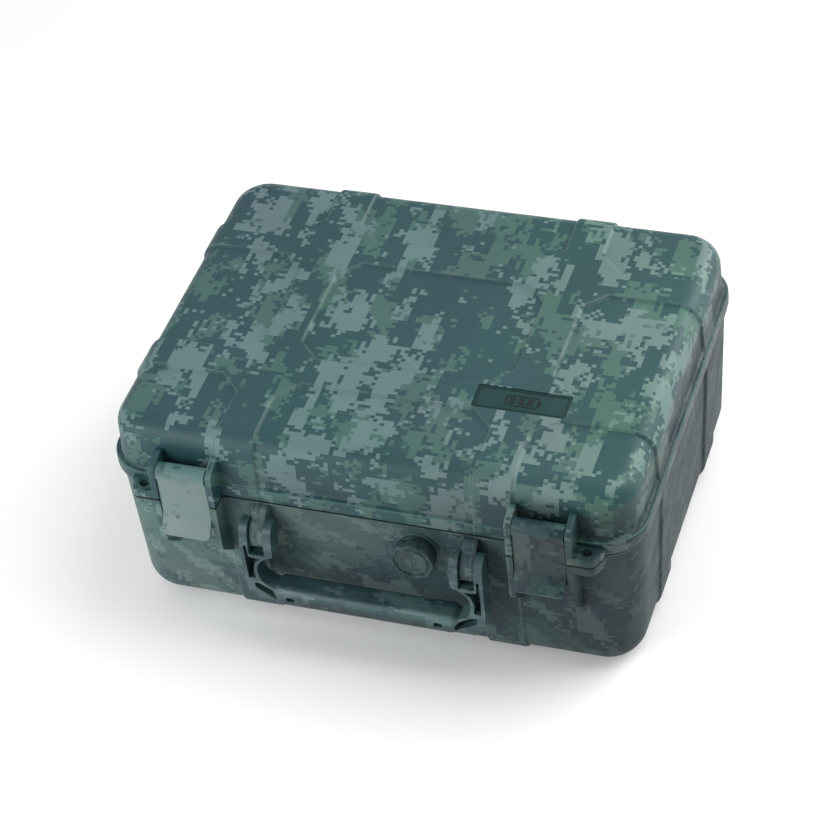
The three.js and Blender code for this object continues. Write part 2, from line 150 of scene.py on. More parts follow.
def in_triangles(obj):
    """Cuts every face into triangles, which keeps the narrow faces beside a bevel clean."""
    work = bmesh.new()
    work.from_mesh(obj.data)
    bmesh.ops.triangulate(work, faces=work.faces)
    work.to_mesh(obj.data)
    work.free()
    return obj


def settle(obj):
    """Replaces an object's mesh by what its modifiers make of it."""
    graph = bpy.context.evaluated_depsgraph_get()
    made = bpy.data.meshes.new_from_object(obj.evaluated_get(graph))
    obj.modifiers.clear()
    obj.data = made
    return obj


def soften(obj, width, segments=2, angle=32):
    """Rounds the sharp edges of an object by a width in millimetres."""
    bevel = obj.modifiers.new("bevel", "BEVEL")
    bevel.width = width * MM
    bevel.segments = segments
    bevel.limit_method = "ANGLE"
    bevel.angle_limit = math.radians(angle)
    bevel.use_clamp_overlap = True
    return settle(obj)


def boolean(obj, others, operation):
    """Applies a boolean with each of the others in turn, and removes them."""
    for other in others:
        modifier = obj.modifiers.new(operation, "BOOLEAN")
        modifier.operation = operation
        modifier.solver = "MANIFOLD"
        modifier.object = other
    settle(obj)
    for other in others:
        bpy.data.objects.remove(other)
    return obj


def joined(obj, others):
    return boolean(obj, others, "UNION")


def cut(obj, others):
    return boolean(obj, others, "DIFFERENCE")


def finish_piece(obj, body, material, slot, *nodes, sharp=38):
    """Smooth shading, material, body, and the CAD nodes that it stands for. The slot argument is not
    used.
    """
    obj.data.materials.clear()
    obj.data.materials.append(material)
    for polygon in obj.data.polygons:
        polygon.material_index = 0
    obj.data.shade_smooth()
    obj.data.set_sharp_from_angle(angle=math.radians(sharp))
    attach(obj, body)
    if nodes:
        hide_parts(*nodes)
    return obj


# ---------------------------- outlines, prisms and skins
def grid_faces(width, depth):
    """Faces over a grid of points, width in a row and depth rows."""
    faces = []
    for row in range(depth - 1):
        for col in range(width - 1):
            a = row * width + col
            faces.append((a, a + 1, a + width + 1, a + width))
    return faces


def skin_faces(count, rows):
    """Faces of a closed skin over rows of count points each, with a flat cap at both ends."""
    faces = []
    for row in range(rows - 1):
        a, b = row * count, (row + 1) * count
        for i in range(count):
            j = (i + 1) % count
            faces.append((a + i, a + j, b + j, b + i))
    return faces + [tuple(range(count)), tuple(range((rows - 1) * count, rows * count))]


def arc(cx, cy, radius, start, end, steps):
    angles = np.radians(np.linspace(start, end, steps + 1))
    return [(cx + radius * math.cos(a), cy + radius * math.sin(a)) for a in angles]


def rounded(points, reach, steps=5):
    """A closed outline with its corners rounded. reach is one number or one for each corner."""
    reaches = [reach] * len(points) if np.isscalar(reach) else reach
    result = []
    for i, corner in enumerate(points):
        here = np.array(corner, float)
        ends = []
        for neighbour in (points[i - 1], points[(i + 1) % len(points)]):
            span = np.array(neighbour, float) - here
            length = np.linalg.norm(span)
            ends.append(here + span / length * min(reaches[i], length * 0.48))
        if reaches[i] <= 0:
            result.append(tuple(here))
            continue
        for t in np.linspace(0, 1, steps + 1):
            point = (1 - t) ** 2 * ends[0] + 2 * t * (1 - t) * here + t ** 2 * ends[1]
            result.append(tuple(point))
    return result


def prism(name, outline, low, high, along):
    """Pulls an outline along an axis. The outline is in (y, z), (x, z) or (x, y)."""
    order = {"x": (2, 0, 1), "y": (0, 2, 1), "z": (0, 1, 2)}[along]
    points = []
    for level in (low, high):
        for a, b in outline:
            triple = (a, b, level)
            points.append([triple[k] for k in order])
    count = len(outline)
    faces = [tuple(range(count)), tuple(range(count, 2 * count))]
    for i in range(count):
        j = (i + 1) % count
        faces.append((i, j, count + j, count + i))
    return outward(new_object(name, points, faces))


def rod(name, radius, low, high, centre, along, sides=40):
    """A cylinder along an axis. centre holds the two other coordinates, in X, Y, Z order."""
    return prism(name, arc(*centre, radius, 0, 360 - 360 / sides, sides - 1), low, high, along)


def block(name, low, high):
    outline = [(low[0], low[1]), (high[0], low[1]), (high[0], high[1]), (low[0], high[1])]
    return prism(name, outline, low[2], high[2], "z")


def span_x(side, low, high):
    """The two ends of a stretch along X, mirrored for the left side."""
    return (low, high) if side > 0 else (-high, -low)


# ---------------------------- ribs
def step(value):
    """Smooth step from 0 to 1 as a signed distance goes across a rib's edge."""
    t = np.clip(value / (2 * RIB_EDGE) + 0.5, 0, 1)
    return t * t * (3 - 2 * t)


def rib_mask(x, y):
    """1 on the raised bands, 0 between them, in plan."""
    mid_x, half_x = sum(RIB_X) / 2, (RIB_X[1] - RIB_X[0]) / 2
    across = half_x - abs(abs(x) - mid_x)
    inside = across
    for low, high in RIB_Y:
        mid_y, half_y = (low + high) / 2, (high - low) / 2
        along = half_y - abs(y - mid_y)
        inside = np.maximum(inside, along)
        dx, dy = abs(abs(x) - mid_x), abs(y - mid_y)
        octagon = (half_x + half_y + CROTCH - dx - dy) / math.sqrt(2)
        octagon = np.minimum(octagon, np.minimum(half_x + CROTCH - dx, half_y + CROTCH - dy))
        inside = np.maximum(inside, octagon)
    return step(inside)


def graded(half, dense_spans, fine=1.0, coarse=6.0):
    """Grid lines from -half to half, fine inside the dense spans and coarse outside."""
    stops = {-half, half}
    for low, high in dense_spans:
        stops.update((max(low, -half), min(high, half)))
    stops = sorted(stops)
    lines = [stops[0]]
    for low, high in zip(stops, stops[1:]):
        mid = (low + high) / 2
        dense = any(a < mid < b for a, b in dense_spans)
        count = max(1, math.ceil((high - low) / (fine if dense else coarse)))
        lines.extend(np.linspace(low, high, count + 1)[1:])
    return np.array(lines)


def shell(name, core, profile, up):
    """One closed moulded wall, from the middle of its outer face round the rim to the inside.

    The plan is a rectangle with rounded corners. Its flat middle, inside the corner centres,
    is a grid. Round it, columns follow the profile: rows of (inset, z, inset normal,
    z normal, rib), where rib says how much of the rib height is added along the normal.
    """
    half_x, half_y = HALF_X - core, HALF_Y - core
    edge = CROTCH + 3
    dense_x = [(RIB_X[0] - edge, RIB_X[1] + edge), (-RIB_X[1] - edge, -RIB_X[0] + edge)]
    dense_y = [(low - edge, high + edge) for low, high in RIB_Y]
    xs, ys = graded(half_x, dense_x), graded(half_y, dense_y)
    grid_x, grid_y = np.meshgrid(xs, ys)
    top_z = profile[0][1]
    grid_z = top_z + up * RIB * rib_mask(grid_x, grid_y)
    points = np.stack([grid_x, grid_y, grid_z], axis=-1).reshape(-1, 3).tolist()
    width, depth = len(xs), len(ys)
    faces = grid_faces(width, depth)
    columns = shell_columns(width, depth)
    origin = np.array([[xs[i % width], ys[i // width]] for i, _ in columns])
    normal = np.array([direction for _, direction in columns])
    previous = [index for index, _ in columns]
    count = len(columns)
    for inset, z, inset_normal, z_normal, rib in profile[1:]:
        plan = origin + normal * (core - inset)
        height = RIB * rib * rib_mask(plan[:, 0], plan[:, 1])
        ring = plan + normal * (height * -inset_normal)[:, None]
        first = len(points)
        points.extend(np.column_stack([ring, z + height * z_normal]).tolist())
        current = list(range(first, first + count))
        for i in range(count):
            j = (i + 1) % count
            corners = (previous[i], previous[j], current[j], current[i])
            face = tuple(dict.fromkeys(corners))
            if len(face) > 2:
                faces.append(face)
        previous = current
    faces.append(tuple(previous))
    return outward(new_object(name, points, faces))


def shell_columns(width, depth, fan=14):
    """(grid point, outward direction) round the grid's edge, fanned out at the corners."""
    sides = [
        (list(range(width)), -90),
        ([row * width + width - 1 for row in range(depth)], 0),
        ([(depth - 1) * width + col for col in reversed(range(width))], 90),
        ([row * width for row in reversed(range(depth))], 180),
    ]
    columns = []
    for indices, angle in sides:
        here = math.radians(angle)
        columns.extend((index, (math.cos(here), math.sin(here))) for index in indices)
        for i in range(1, fan):
            turn = math.radians(angle + 90 * i / fan)
            columns.append((indices[-1], (math.cos(turn), math.sin(turn))))
    return columns


def fillet_rows(centre_inset, centre_z, radius, start, end, steps, outward_sign, rib):
    """Profile rows along an arc. Angles are measured from +inset towards +z."""
    rows = []
    for inset, z in arc(centre_inset, centre_z, radius, start, end, steps):
        away = ((inset - centre_inset) / radius, (z - centre_z) / radius)
        rows.append((inset, z, away[0] * outward_sign, away[1] * outward_sign, rib))
    return rows


def plain(*rows):
    """Profile rows that carry no rib."""
    return [(inset, z, 0.0, 0.0, 0.0) for inset, z in rows]


# ---------------------------- lid
def lid_profile():
    """Profile of the lid's wall: top, rounded edge, wall, flange, seal groove, inner wall."""
    arc_z = HEIGHT - RIB - LID_FILLET
    arc_inset = LID_INSET + LID_DRAFT + LID_FILLET
    top = HEIGHT - RIB
    bottom = SEAM + GAP / 2
    groove = bottom + 4.5
    rows = [(LID_CORE, top, 0, 1, 1), (26, top, 0, 1, 1), (22, top, 0, 1, 1)]
    rows += fillet_rows(arc_inset, arc_z, LID_FILLET, 90, 180, 14, 1, 1)
    rows += [(LID_INSET + 0.4, 136, -1, 0, 1), (LID_INSET, 127.4, -1, 0, 1)]
    rows += [(3.9, 125.7, -1, 0, 1), (3.2, 124.7, -1, 0, 0.92), (2.2, FLANGE_TOP, -1, 0, 0.6)]
    rows += plain((0.9, FLANGE_TOP), (0.26, 124.0), (0, 123.4), (0, 119.5), (0, bottom + 0.8))
    rows += plain((0.24, bottom + 0.2), (0.8, bottom), (3.2, bottom), (3.4, bottom + 0.2))
    rows += plain((3.4, groove), (8.0, groove), (8.0, bottom + 0.2), (8.2, bottom))
    rows += plain((10.0, bottom), (RIM, bottom + 0.5), (RIM, 122.8), (8.9, 125.5))
    rows += plain((9.1, arc_z))
    rows += fillet_rows(arc_inset, arc_z, LID_FILLET - WALL, 180, 90, 7, 1, 0)
    rows += plain((LID_CORE - 2, top - WALL))
    return rows


def ears(side, outline, name):
    """The two plates that stand beside a latch lever."""
    plates = []
    for end in (-1, 1):
        near = LATCH_X + end * EAR_GAP / 2
        far = near + end * EAR
        low, high = span_x(side, min(near, far), max(near, far))
        plates.append(soften(prism(f"{name}_{end}", outline, low, high, "x"), 0.8, 3))
    return plates


def lid_ear_outline():
    seam = SEAM + GAP / 2
    corners = [(-132, 143.5), (-136.5, 145.4), (-147.6, 142.6), (EAR_FRONT, 139.2),
               (EAR_FRONT, seam), (-132, seam)]
    return rounded(corners, [0, 3, 3, 2.5, 0.6, 0])


def base_ear_outline():
    seam = SEAM - GAP / 2
    corners = [(-132.5, seam), (EAR_FRONT, seam), (EAR_FRONT, 77), (-132.5, 58.5)]
    return rounded(corners, [0, 0.6, 4, 0])


def padlock_tab(side, low, high):
    """The tongue beyond a latch that carries a padlock eye."""
    corners = [(139, -132.5), (139, -151), (153.6, -151), (158, -141), (158, -132.5)]
    outline = [(side * x, y) for x, y in rounded(corners, [0, 0.5, 2.5, 2.5, 0])]
    return soften(prism("padlock_tab", outline, low, high, "z"), 0.9, 3)


def knuckles(side, parity):
    """Hinge knuckles: the even ones belong to the base and the odd ones to the lid."""
    pitch = HINGE_WIDTH / KNUCKLES
    if parity == 0:
        low = HINGE_Z - GAP / 2
        arm = [(HALF_Y - 5, HINGE_Z - 24), (HALF_Y - 5, low), (HINGE_Y, low)]
        arm += arc(HINGE_Y, HINGE_Z, HINGE_RADIUS, 0, -6, 1)
        arm += [(HINGE_Y + HINGE_RADIUS, HINGE_Z - 12)]
    else:
        low = HINGE_Z + GAP / 2
        arm = [(HALF_Y - 3, low), (HINGE_Y, low), (HINGE_Y, HINGE_Z + HINGE_RADIUS),
               (HALF_Y - 3, HINGE_Z + 8.5)]
    made = []
    for i in range(parity, KNUCKLES, 2):
        start = HINGE_X - HINGE_WIDTH / 2 + i * pitch + GAP / 2
        low, high = span_x(side, start, start + pitch - GAP)
        barrel = rod("knuckle", HINGE_RADIUS, low, high, (HINGE_Y, HINGE_Z), "x")
        made.append(soften(joined(prism("arm", arm, low, high, "x"), [barrel]), 0.35, 2))
    return made


def pin_bore(side, radius, centre_x, reach, y, z):
    """Cutter for the hole of a pin that lies along X."""
    low, high = span_x(side, centre_x - reach, centre_x + reach)
    return rod("bore", radius + GAP, low, high, (y, z), "x")


def hinge_bore(side):
    return pin_bore(side, PIN_RADIUS, HINGE_X, 0.8 * HINGE_WIDTH, HINGE_Y, HINGE_Z)


def padlock_eye(side):
    """Cutter for the hole through both padlock tabs."""
    centre = (side * EYE_X, EYE_Y)
    return rod("bore", EYE_RADIUS, EYE_BOTTOM - CLEAR, EYE_TOP + CLEAR, centre, "z")


def plate_outline(margin):
    half_x, half_y = PLATE_WIDTH / 2 + margin, PLATE_DEPTH / 2 + margin
    corners = [(-half_x, -half_y), (half_x, -half_y), (half_x, half_y), (-half_x, half_y)]
    return [(PLATE_X + x, PLATE_Y + y) for x, y in rounded(corners, 2.4)]


def make_lid():
    """The lid with its ears, padlock tabs, knuckles, bores and the recess for the plate."""
    lid = shell("lid", LID_CORE, lid_profile(), 1)
    bottom = SEAM + GAP / 2
    parts, cutters = [], []
    for side in (1, -1):
        parts += ears(side, lid_ear_outline(), "lid_ear")
        parts.append(padlock_tab(side, bottom, EYE_TOP))
        parts += knuckles(side, 1)
        in_ears = EAR_GAP / 2 + EAR - SKIN
        cutters.append(pin_bore(side, PIN_RADIUS, LATCH_X, in_ears, LATCH_Y, LATCH_Z))
        cutters += [hinge_bore(side), padlock_eye(side)]
    floor = HEIGHT - RIB - PLATE_RECESS
    cutters.append(prism("recess", plate_outline(GAP), floor, HEIGHT + CLEAR, "z"))
    cut(joined(lid, parts), cutters)
    return lid


# ---------------------------- base
def base_profile():
    """Profile of the tub's wall: floor, rounded edge, wall, lip, tongue, inner wall."""
    arc_z = RIB + BASE_FILLET
    arc_inset = BASE_INSET + BASE_DRAFT + BASE_FILLET
    top = SEAM - GAP / 2
    ridge = SEAM + 2.1
    rows = [(BASE_CORE, RIB, 0, -1, 1), (29, RIB, 0, -1, 1)]
    rows += fillet_rows(arc_inset, arc_z, BASE_FILLET, 270, 180, 14, 1, 1)
    for share in (0.25, 0.5, 0.75, 0.93):
        inset = BASE_INSET + BASE_DRAFT * (1 - share)
        rows.append((inset, arc_z + (top - arc_z) * share, -1, 0, 1))
    for drop, inset, rib in ((4.6, 2.4, 0.9), (3.8, 1.9, 0.6), (3.0, 1.1, 0.25), (2.3, 0.6, 0.0)):
        rows.append((inset, top - drop, -1, 0, rib))
    rows += plain((0.4, top - 1.6), (0.4, top - 1.0), (0.6, top - 0.75), (3.6, top - 0.75), (3.7, top))
    rows += plain((4.5, top), (4.7, top + 0.2), (4.7, ridge - 0.4), (5.1, ridge), (6.3, ridge))
    rows += plain((6.7, ridge - 0.4), (6.7, top + 0.2), (6.9, top), (10.0, top))
    rows += plain((RIM, top - 0.5), (RIM, SEAM - 8.2), (7.0, SEAM - 12), (10.0, arc_z))
    rows += fillet_rows(arc_inset, arc_z, BASE_FILLET - WALL, 180, 270, 8, 1, 0)
    rows += plain((BASE_CORE - 2, RIB + WALL))
    return rows


def handle_lug(side):
    """The tongue that carries one handle pin."""
    corners = [(-132.5, 95), (-132.5, 111.5), (-141.4, 111.5), (-144.4, 109), (-145.2, 105.4),
               (-149.4, 104.4), (-153.2, 99.5), (-154.4, 94), (-153.6, 88), (-146.5, 88), (-142, 93)]
    outline = rounded(corners, [0, 0, 2.4, 1.8, 1.8, 2.4, 3, 3, 0.8, 1, 2])
    low, high = span_x(side, LUG_X - LUG_WIDTH / 2, LUG_X + LUG_WIDTH / 2)
    return soften(prism("lug", outline, low, high, "x"), 0.7, 3)


def latch_catch(side):
    """The ridge on the base behind the lever's hooked lip."""
    corners = [(-132.5, 109), (-141, 109), (-144.5, 104), (-144.5, 98.5), (-141, 96), (-132.5, 96)]
    outline = rounded(corners, [0, 1.5, 1.5, 1, 1, 0])
    half = EAR_GAP / 2 + 1
    low, high = span_x(side, LATCH_X - half, LATCH_X + half)
    return prism("catch", outline, low, high, "x")


def ring_y(name, outer, inner, low, high, sides=64):
    """A flat ring round the valve's axis."""
    centre = (VALVE_X, VALVE_Z)
    hole = rod("hole", inner, low - 1, high + 1, centre, "y", sides)
    return cut(rod(name, outer, low, high, centre, "y", sides), [hole])


def make_base():
    """The tub with its valve boss, ears, catches, padlock tabs, knuckles, lugs and bores."""
    base = shell("base", BASE_CORE, base_profile(), -1)
    top = SEAM - GAP / 2
    centre = (VALVE_X, VALVE_Z)
    boss = soften(rod("boss", BOSS_RADIUS, BOSS_FACE, -132.5, centre, "y", 72), 0.5)
    parts = [boss]
    cutters = [rod("bore", THREAD_RADIUS + GAP, -150, -120, centre, "y"),
               ring_y("o_ring_groove", 12.6, 9.2, BOSS_FACE - 1, BOSS_FACE + 1.5)]
    for side in (1, -1):
        parts += ears(side, base_ear_outline(), "base_ear")
        parts.append(latch_catch(side))
        parts.append(padlock_tab(side, EYE_BOTTOM, top))
        parts += knuckles(side, 0)
        parts.append(handle_lug(side))
        cutters.append(hinge_bore(side))
        cutters.append(pin_bore(side, HANDLE_PIN_RADIUS, LUG_X, 2 * LUG_WIDTH, PIVOT_Y, PIVOT_Z))
        cutters.append(padlock_eye(side))
    cut(joined(base, parts), cutters)
    return base


# ---------------------------- latches
def lever(side):
    """Latch lever: barrel round the pin, flat plate, hooked lip and flared thumb tab."""
    half = LEVER_WIDTH / 2
    corners = [(-150, 136), (-150, 103.4), (-152, 100), (-158, 91.4), (-157.4, 89.2), (-155.6, 89.4),
               (-150, 96.4), (-146.8, 93.6), (-144.9, 92), (-144.9, 95.4), (-146.4, 98), (-146.4, 136)]
    side_view = rounded(corners, [0, 4, 4, 1.4, 0.9, 1.4, 2, 0.6, 0.6, 0.6, 1, 0])
    low, high = span_x(side, LATCH_X - half, LATCH_X + half)
    plate = prism("lever", side_view, low, high, "x")
    barrel = rod("barrel", LATCH_BARREL, low, high, (LATCH_Y, LATCH_Z), "x", 48)
    joined(plate, [barrel])
    front = arc(LATCH_X - half + 5, 94.3, 5, 180, 265, 12)
    front += arc(LATCH_X + half - 5, 94.3, 5, 275, 360, 12)
    front += [(LATCH_X + half, 150), (LATCH_X - half, 150)]
    mask = prism("mask", [(side * x, z) for x, z in front], -170, -130, "y")
    boolean(plate, [mask], "INTERSECT")
    soften(plate, 0.7, 3, 40)
    return cut(plate, [pin_bore(side, PIN_RADIUS, LATCH_X, 30, LATCH_Y, LATCH_Z)])


# ---------------------------- handle
def handle_arm(side):
    """One arm and corner of the handle; its cored pockets and the slot for the lug are cut later, in
    make_handle.
    """
    edge = HANDLE_HALF
    corners = [(60, PIVOT_Z + 9), (60, 83), (66.5, 80.5), (71.4, 75.5), (72.8, 68.5), (71.4, 60.5),
               (65.5, 55), (58, 53.5), (50, 53.5), (50, 40.5), (72, 40.5), (edge - 2, 46), (edge, 56),
               (edge, PIVOT_Z + 9)]
    reaches = [0, 2.5, 3, 3, 3, 3, 3, 2, 0, 0, 5, 5, 5, 0]
    outline = [(side * x, z) for x, z in rounded(corners, reaches)]
    arm = prism("arm", outline, -157, -144.5, "y")
    profile = arc(PIVOT_Y, PIVOT_Z, 8.8, 0, 180, 20)
    profile += [(-157, PIVOT_Z - 6), (-157, 42), (-155, 40), (-146, 40), (-144.5, 42),
                (-144.5, PIVOT_Z - 12), (PIVOT_Y + 8.8, PIVOT_Z - 6)]
    low, high = span_x(side, 40, edge + 1)
    return boolean(arm, [prism("side", profile, low, high, "x")], "INTERSECT")


def handle_grip():
    """The bar that the hand holds; it stands proud of the arms and narrows to meet them."""
    bar = [(-143, 45), (-145.5, 42.6), (-158.6, 42.6), (-161, 45.4), (-161, 53.2), (-158.4, 57),
           (-146, 57.4), (-143, 55.5)]
    arm = [(-145, 44), (-147, 41.6), (-154.4, 41.6), (-156.6, 43.6), (-156.6, 50.6), (-155, 52.8),
           (-147, 52.8), (-145, 51)]
    bar, arm = (np.array(rounded(corners, 1.7)) for corners in (bar, arm))
    rows = []
    for x in (67, 65.5, 64, 62.5, 61, 59.5, GRIP_HALF, 40, 20):
        share = min(max((x - GRIP_HALF) / 8, 0), 1)
        share = share * share * (3 - 2 * share)
        rows.append((x, bar * (1 - share) + arm * share))
    rows = [(-x, section) for x, section in rows] + rows[::-1]
    points = [(x, y, z) for x, section in rows for y, z in section]
    return outward(new_object("handle", points, skin_faces(len(bar), len(rows))))


def handle_pockets(side):
    """Cutters for the cored pockets of an arm and for the slot that the lug sits in."""
    web = -148.5
    long = [(79.8, 91), (77.6, 91), (77.3, 81), (68.5, 80), (73.2, 77), (75.2, 69), (74.2, 62),
            (79.4, 61)]
    corner = [(76, 57.5), (73, 57.5), (61, 50.5), (61, 46), (65, 46), (76, 53)]
    small = [(53.5, 52), (47.5, 52), (47.5, 48.5), (53.5, 48.5)]
    made = []
    for points, reach, back in ((long, 1.2, web), (corner, 1.8, web), (small, 1.5, -158.6)):
        outline = [(side * x, z) for x, z in rounded(points, reach)]
        made.append(prism("pocket", outline, -170, back, "y"))
    half = SLOT_WIDTH / 2
    low, high = span_x(side, LUG_X - half, LUG_X + half)
    made.append(block("slot", (low, -170, 83.5), (high, -130, PIVOT_Z + 20)))
    return made


def make_handle():
    """Grip and arms in one, cored, rounded and bored for the pins."""
    handle = joined(handle_grip(), [handle_arm(side) for side in (1, -1)])
    cut(handle, handle_pockets(1) + handle_pockets(-1))
    soften(handle, 0.55, 3, 40)
    in_cheeks = HANDLE_HALF - LUG_X - SKIN
    bores = [pin_bore(side, HANDLE_PIN_RADIUS, LUG_X, in_cheeks, PIVOT_Y, PIVOT_Z) for side in (1, -1)]
    return in_triangles(outward(cut(handle, bores), 0.01))


# ---------------------------- valve
def turned(name, rows, centre, lobes=None, sides=192):
    """A solid turned about a line along Y. rows are (radius, y); lobes shapes each radius."""
    points = []
    angles = np.linspace(0, 2 * math.pi, sides, endpoint=False)
    for radius, y in rows:
        factor = lobes(angles, radius) if lobes else np.ones(sides)
        for angle, scale in zip(angles, factor):
            x = centre[0] + radius * scale * math.cos(angle)
            z = centre[1] + radius * scale * math.sin(angle)
            points.append((x, y, z))
    return outward(new_object(name, points, skin_faces(sides, len(rows))))


def knob_lobes(angles, radius):
    """Eight soft corners on the outside and fine grip notches round the raised middle."""
    if radius > 12:
        corner = np.abs(np.cos(4 * angles)) ** 0.7
        return 0.93 + 0.085 * corner
    notched = 9.3 < radius < 10.7
    return 1 - 0.035 * notched * (0.5 + 0.5 * np.cos(36 * angles))


def make_knob():
    """Stem, eight-sided skirt, rim with a groove inside it, and the raised middle of the face."""
    rows = [(STEM_RADIUS, -128), (STEM_RADIUS, -140.8), (13.6, -140.8), (BOSS_RADIUS, -141.6),
            (BOSS_RADIUS, -148.0), (14.1, -148.8), (13.5, -149.2), (12.8, -149.2), (12.3, -148.8),
            (12.1, -148.2), (11.0, -148.1), (10.6, -148.4), (10.6, -148.7), (10.2, -149.0),
            (9.4, -149.1), (4, -149.2)]
    return turned("valve_cap", rows, (VALVE_X, VALVE_Z), knob_lobes)


def make_valve_body():
    """Thread and disc of the valve, with the bore that the knob's stem turns in."""
    face = BOSS_FACE - GAP
    rows = [(THREAD_RADIUS, -125.5), (THREAD_RADIUS, face), (DISC_RADIUS, face),
            (DISC_RADIUS, face - 2.2), (DISC_RADIUS - 0.7, face - 2.9), (3.4, face - 3)]
    body = turned("valve_housing", rows, (VALVE_X, VALVE_Z), sides=96)
    return cut(body, [rod("bore", STEM_RADIUS + GAP, -145, -120, (VALVE_X, VALVE_Z), "y")])


# ---------------------------- name plate
def battery_sign(z):
    """A plain battery sign as raised bars: four sides, a terminal and three level marks."""
    half_x, half_y, line = 11.0, 5.0, 0.9
    bars = [(-half_x, half_x, half_y - line, half_y), (-half_x, half_x, -half_y, line - half_y),
            (-half_x, line - half_x, -half_y, half_y), (half_x - line, half_x, -half_y, half_y),
            (half_x - 0.1, half_x + 1.6, -2.0, 2.0)]
    for i in range(3):
        left = 2.4 + i * 6.1 - half_x
        bars.append((left, left + 4.0, 2.2 - half_y, half_y - 2.2))
    made = []
    for left, right, low, high in bars:
        corner = (PLATE_X + left, PLATE_Y + low, z - 0.3)
        made.append(block("bar", corner, (PLATE_X + right, PLATE_Y + high, z)))
    return made


def plate_border(z):
    """A thin raised line just inside the plate's edge."""
    band = prism("border", plate_outline(-1.4), z - 0.3, z, "z")
    return cut(band, [prism("hole", plate_outline(-1.9), z - 1, z + 1, "z")])


def make_plate():
    """The plate, and as a second piece its raised sign and border."""
    floor = HEIGHT - RIB - PLATE_RECESS + GAP
    thick = 2.1
    plate = soften(prism("name_badge", plate_outline(0), floor, floor + thick, "z"), 0.15, 2)
    sign = battery_sign(floor + thick + 0.2)
    marks = joined(sign[0], sign[1:] + [plate_border(floor + thick + 0.2)])
    return plate, marks


# ---------------------------- seal and pins
def stack(name, rows, core, fan=12):
    """A closed solid from rounded rectangles: rows of (inset, z) from one end to the other."""
    points = []
    for inset, z in rows:
        for angle in (0, 90, 180, 270):
            sx = 1 if angle in (0, 270) else -1
            sy = 1 if angle in (0, 90) else -1
            centre = (sx * (HALF_X - core), sy * (HALF_Y - core))
            points += [(x, y, z) for x, y in arc(*centre, core - inset, angle, angle + 90, fan)]
    return outward(new_object(name, points, skin_faces(len(points) // len(rows), len(rows))))


def make_seal():
    """The gasket under the lid rim: a round-edged band that follows the groove."""
    top = SEAM + GAP / 2 + 4.5 - GAP
    low = top - 1.8
    outer = stack("lid_gasket", [(4.0, low), (3.7, low + 0.4), (3.7, top - 0.4), (4.0, top)], LID_CORE)
    inner = stack("hole", [(7.7, low - 1), (7.7, top + 1)], LID_CORE)
    return soften(cut(outer, [inner]), 0.3)


def make_pin(name, side, radius, centre_x, half, y, z):
    """A steel pin along X with rounded ends."""
    low, high = span_x(side, centre_x - half, centre_x + half)
    return soften(rod(name, radius, low, high, (y, z), "x", 32), 0.3)


# ---------------------------- foam
FOAM_INSET = 13.6
FLOOR_TOP = 18.0
BLOCK_TOP = 112.0
LID_FOAM_BOTTOM = 116.5
CUBE = 15.0                # side of the foam cubes that pull out
BAYS = ((-82.5, 60, 150, 60), (-82.5, -22.5, 150, 60), (82.5, 18.75, 120, 142.5))


def pad(name, half_x, half_y, corner, lines_x, lines_y, height, flat_z):
    """A foam block with a shaped face over a grid and a flat face at flat_z."""
    grid_x, grid_y = np.meshgrid(lines_x, lines_y)
    over_x = np.maximum(abs(grid_x) - (half_x - corner), 0)
    over_y = np.maximum(abs(grid_y) - (half_y - corner), 0)
    length = np.hypot(over_x, over_y)
    ratio = np.maximum(over_x, over_y) / np.where(length > 0, length, 1)
    plan_x = np.sign(grid_x) * (np.minimum(abs(grid_x), half_x - corner) + over_x * ratio)
    plan_y = np.sign(grid_y) * (np.minimum(abs(grid_y), half_y - corner) + over_y * ratio)
    plan_x = np.where(length > 0, plan_x, grid_x)
    plan_y = np.where(length > 0, plan_y, grid_y)
    points = np.stack([plan_x, plan_y, height(plan_x, plan_y)], axis=-1).reshape(-1, 3)
    width, depth = len(lines_x), len(lines_y)
    faces = grid_faces(width, depth)
    edge = list(range(width - 1))
    edge += [row * width + width - 1 for row in range(depth - 1)]
    edge += [(depth - 1) * width + col for col in range(width - 1, 0, -1)]
    edge += [row * width for row in range(depth - 1, 0, -1)]
    first = len(points)
    back = points[edge] * (1, 1, 0) + (0, 0, flat_z)
    points = np.vstack([points, back])
    for i, index in enumerate(edge):
        j = (i + 1) % len(edge)
        faces.append((index, edge[j], first + j, first + i))
    faces.append(tuple(range(first, first + len(edge))))
    return outward(new_object(name, points, faces))


def cube_lines(half, offset):
    """Grid lines on both sides of each cut between the foam cubes, and in its middle."""
    lines = {-half, half}
    count = math.ceil(half / CUBE) + 1
    for i in range(-count, count + 1):
        for shift in (-0.7, 0.0, 0.7, CUBE / 2):
            line = offset + i * CUBE + shift
            if abs(line) < half - 0.5:
                lines.add(line)
    return np.array(sorted(lines))


def cube_cuts(x, y):
    """Depth of the cuts that mark the cubes on the block's top."""
    depth = np.zeros_like(x)
    for value, offset in ((x, CUBE / 2), (y, 0.0)):
        away = abs((value - offset + CUBE / 2) % CUBE - CUBE / 2)
        depth = np.maximum(depth, np.clip(1 - away / 0.7, 0, 1))
    return 1.6 * depth


def make_battery_foam():
    """The block of pull-out cubes, with the three bays already cut out."""
    half_x, half_y = HALF_X - FOAM_INSET, HALF_Y - FOAM_INSET
    foam = pad("battery_insert", half_x, half_y, 16, cube_lines(half_x, CUBE / 2),
               cube_lines(half_y, 0), lambda x, y: BLOCK_TOP - cube_cuts(x, y), FLOOR_TOP + 0.5)
    bays = []
    for x, y, width, depth in BAYS:
        low = (x - width / 2, y - depth / 2, 0)
        high = (x + width / 2, y + depth / 2, BLOCK_TOP + 5)
        bays.append(block("bay", low, high))
    return cut(foam, bays)


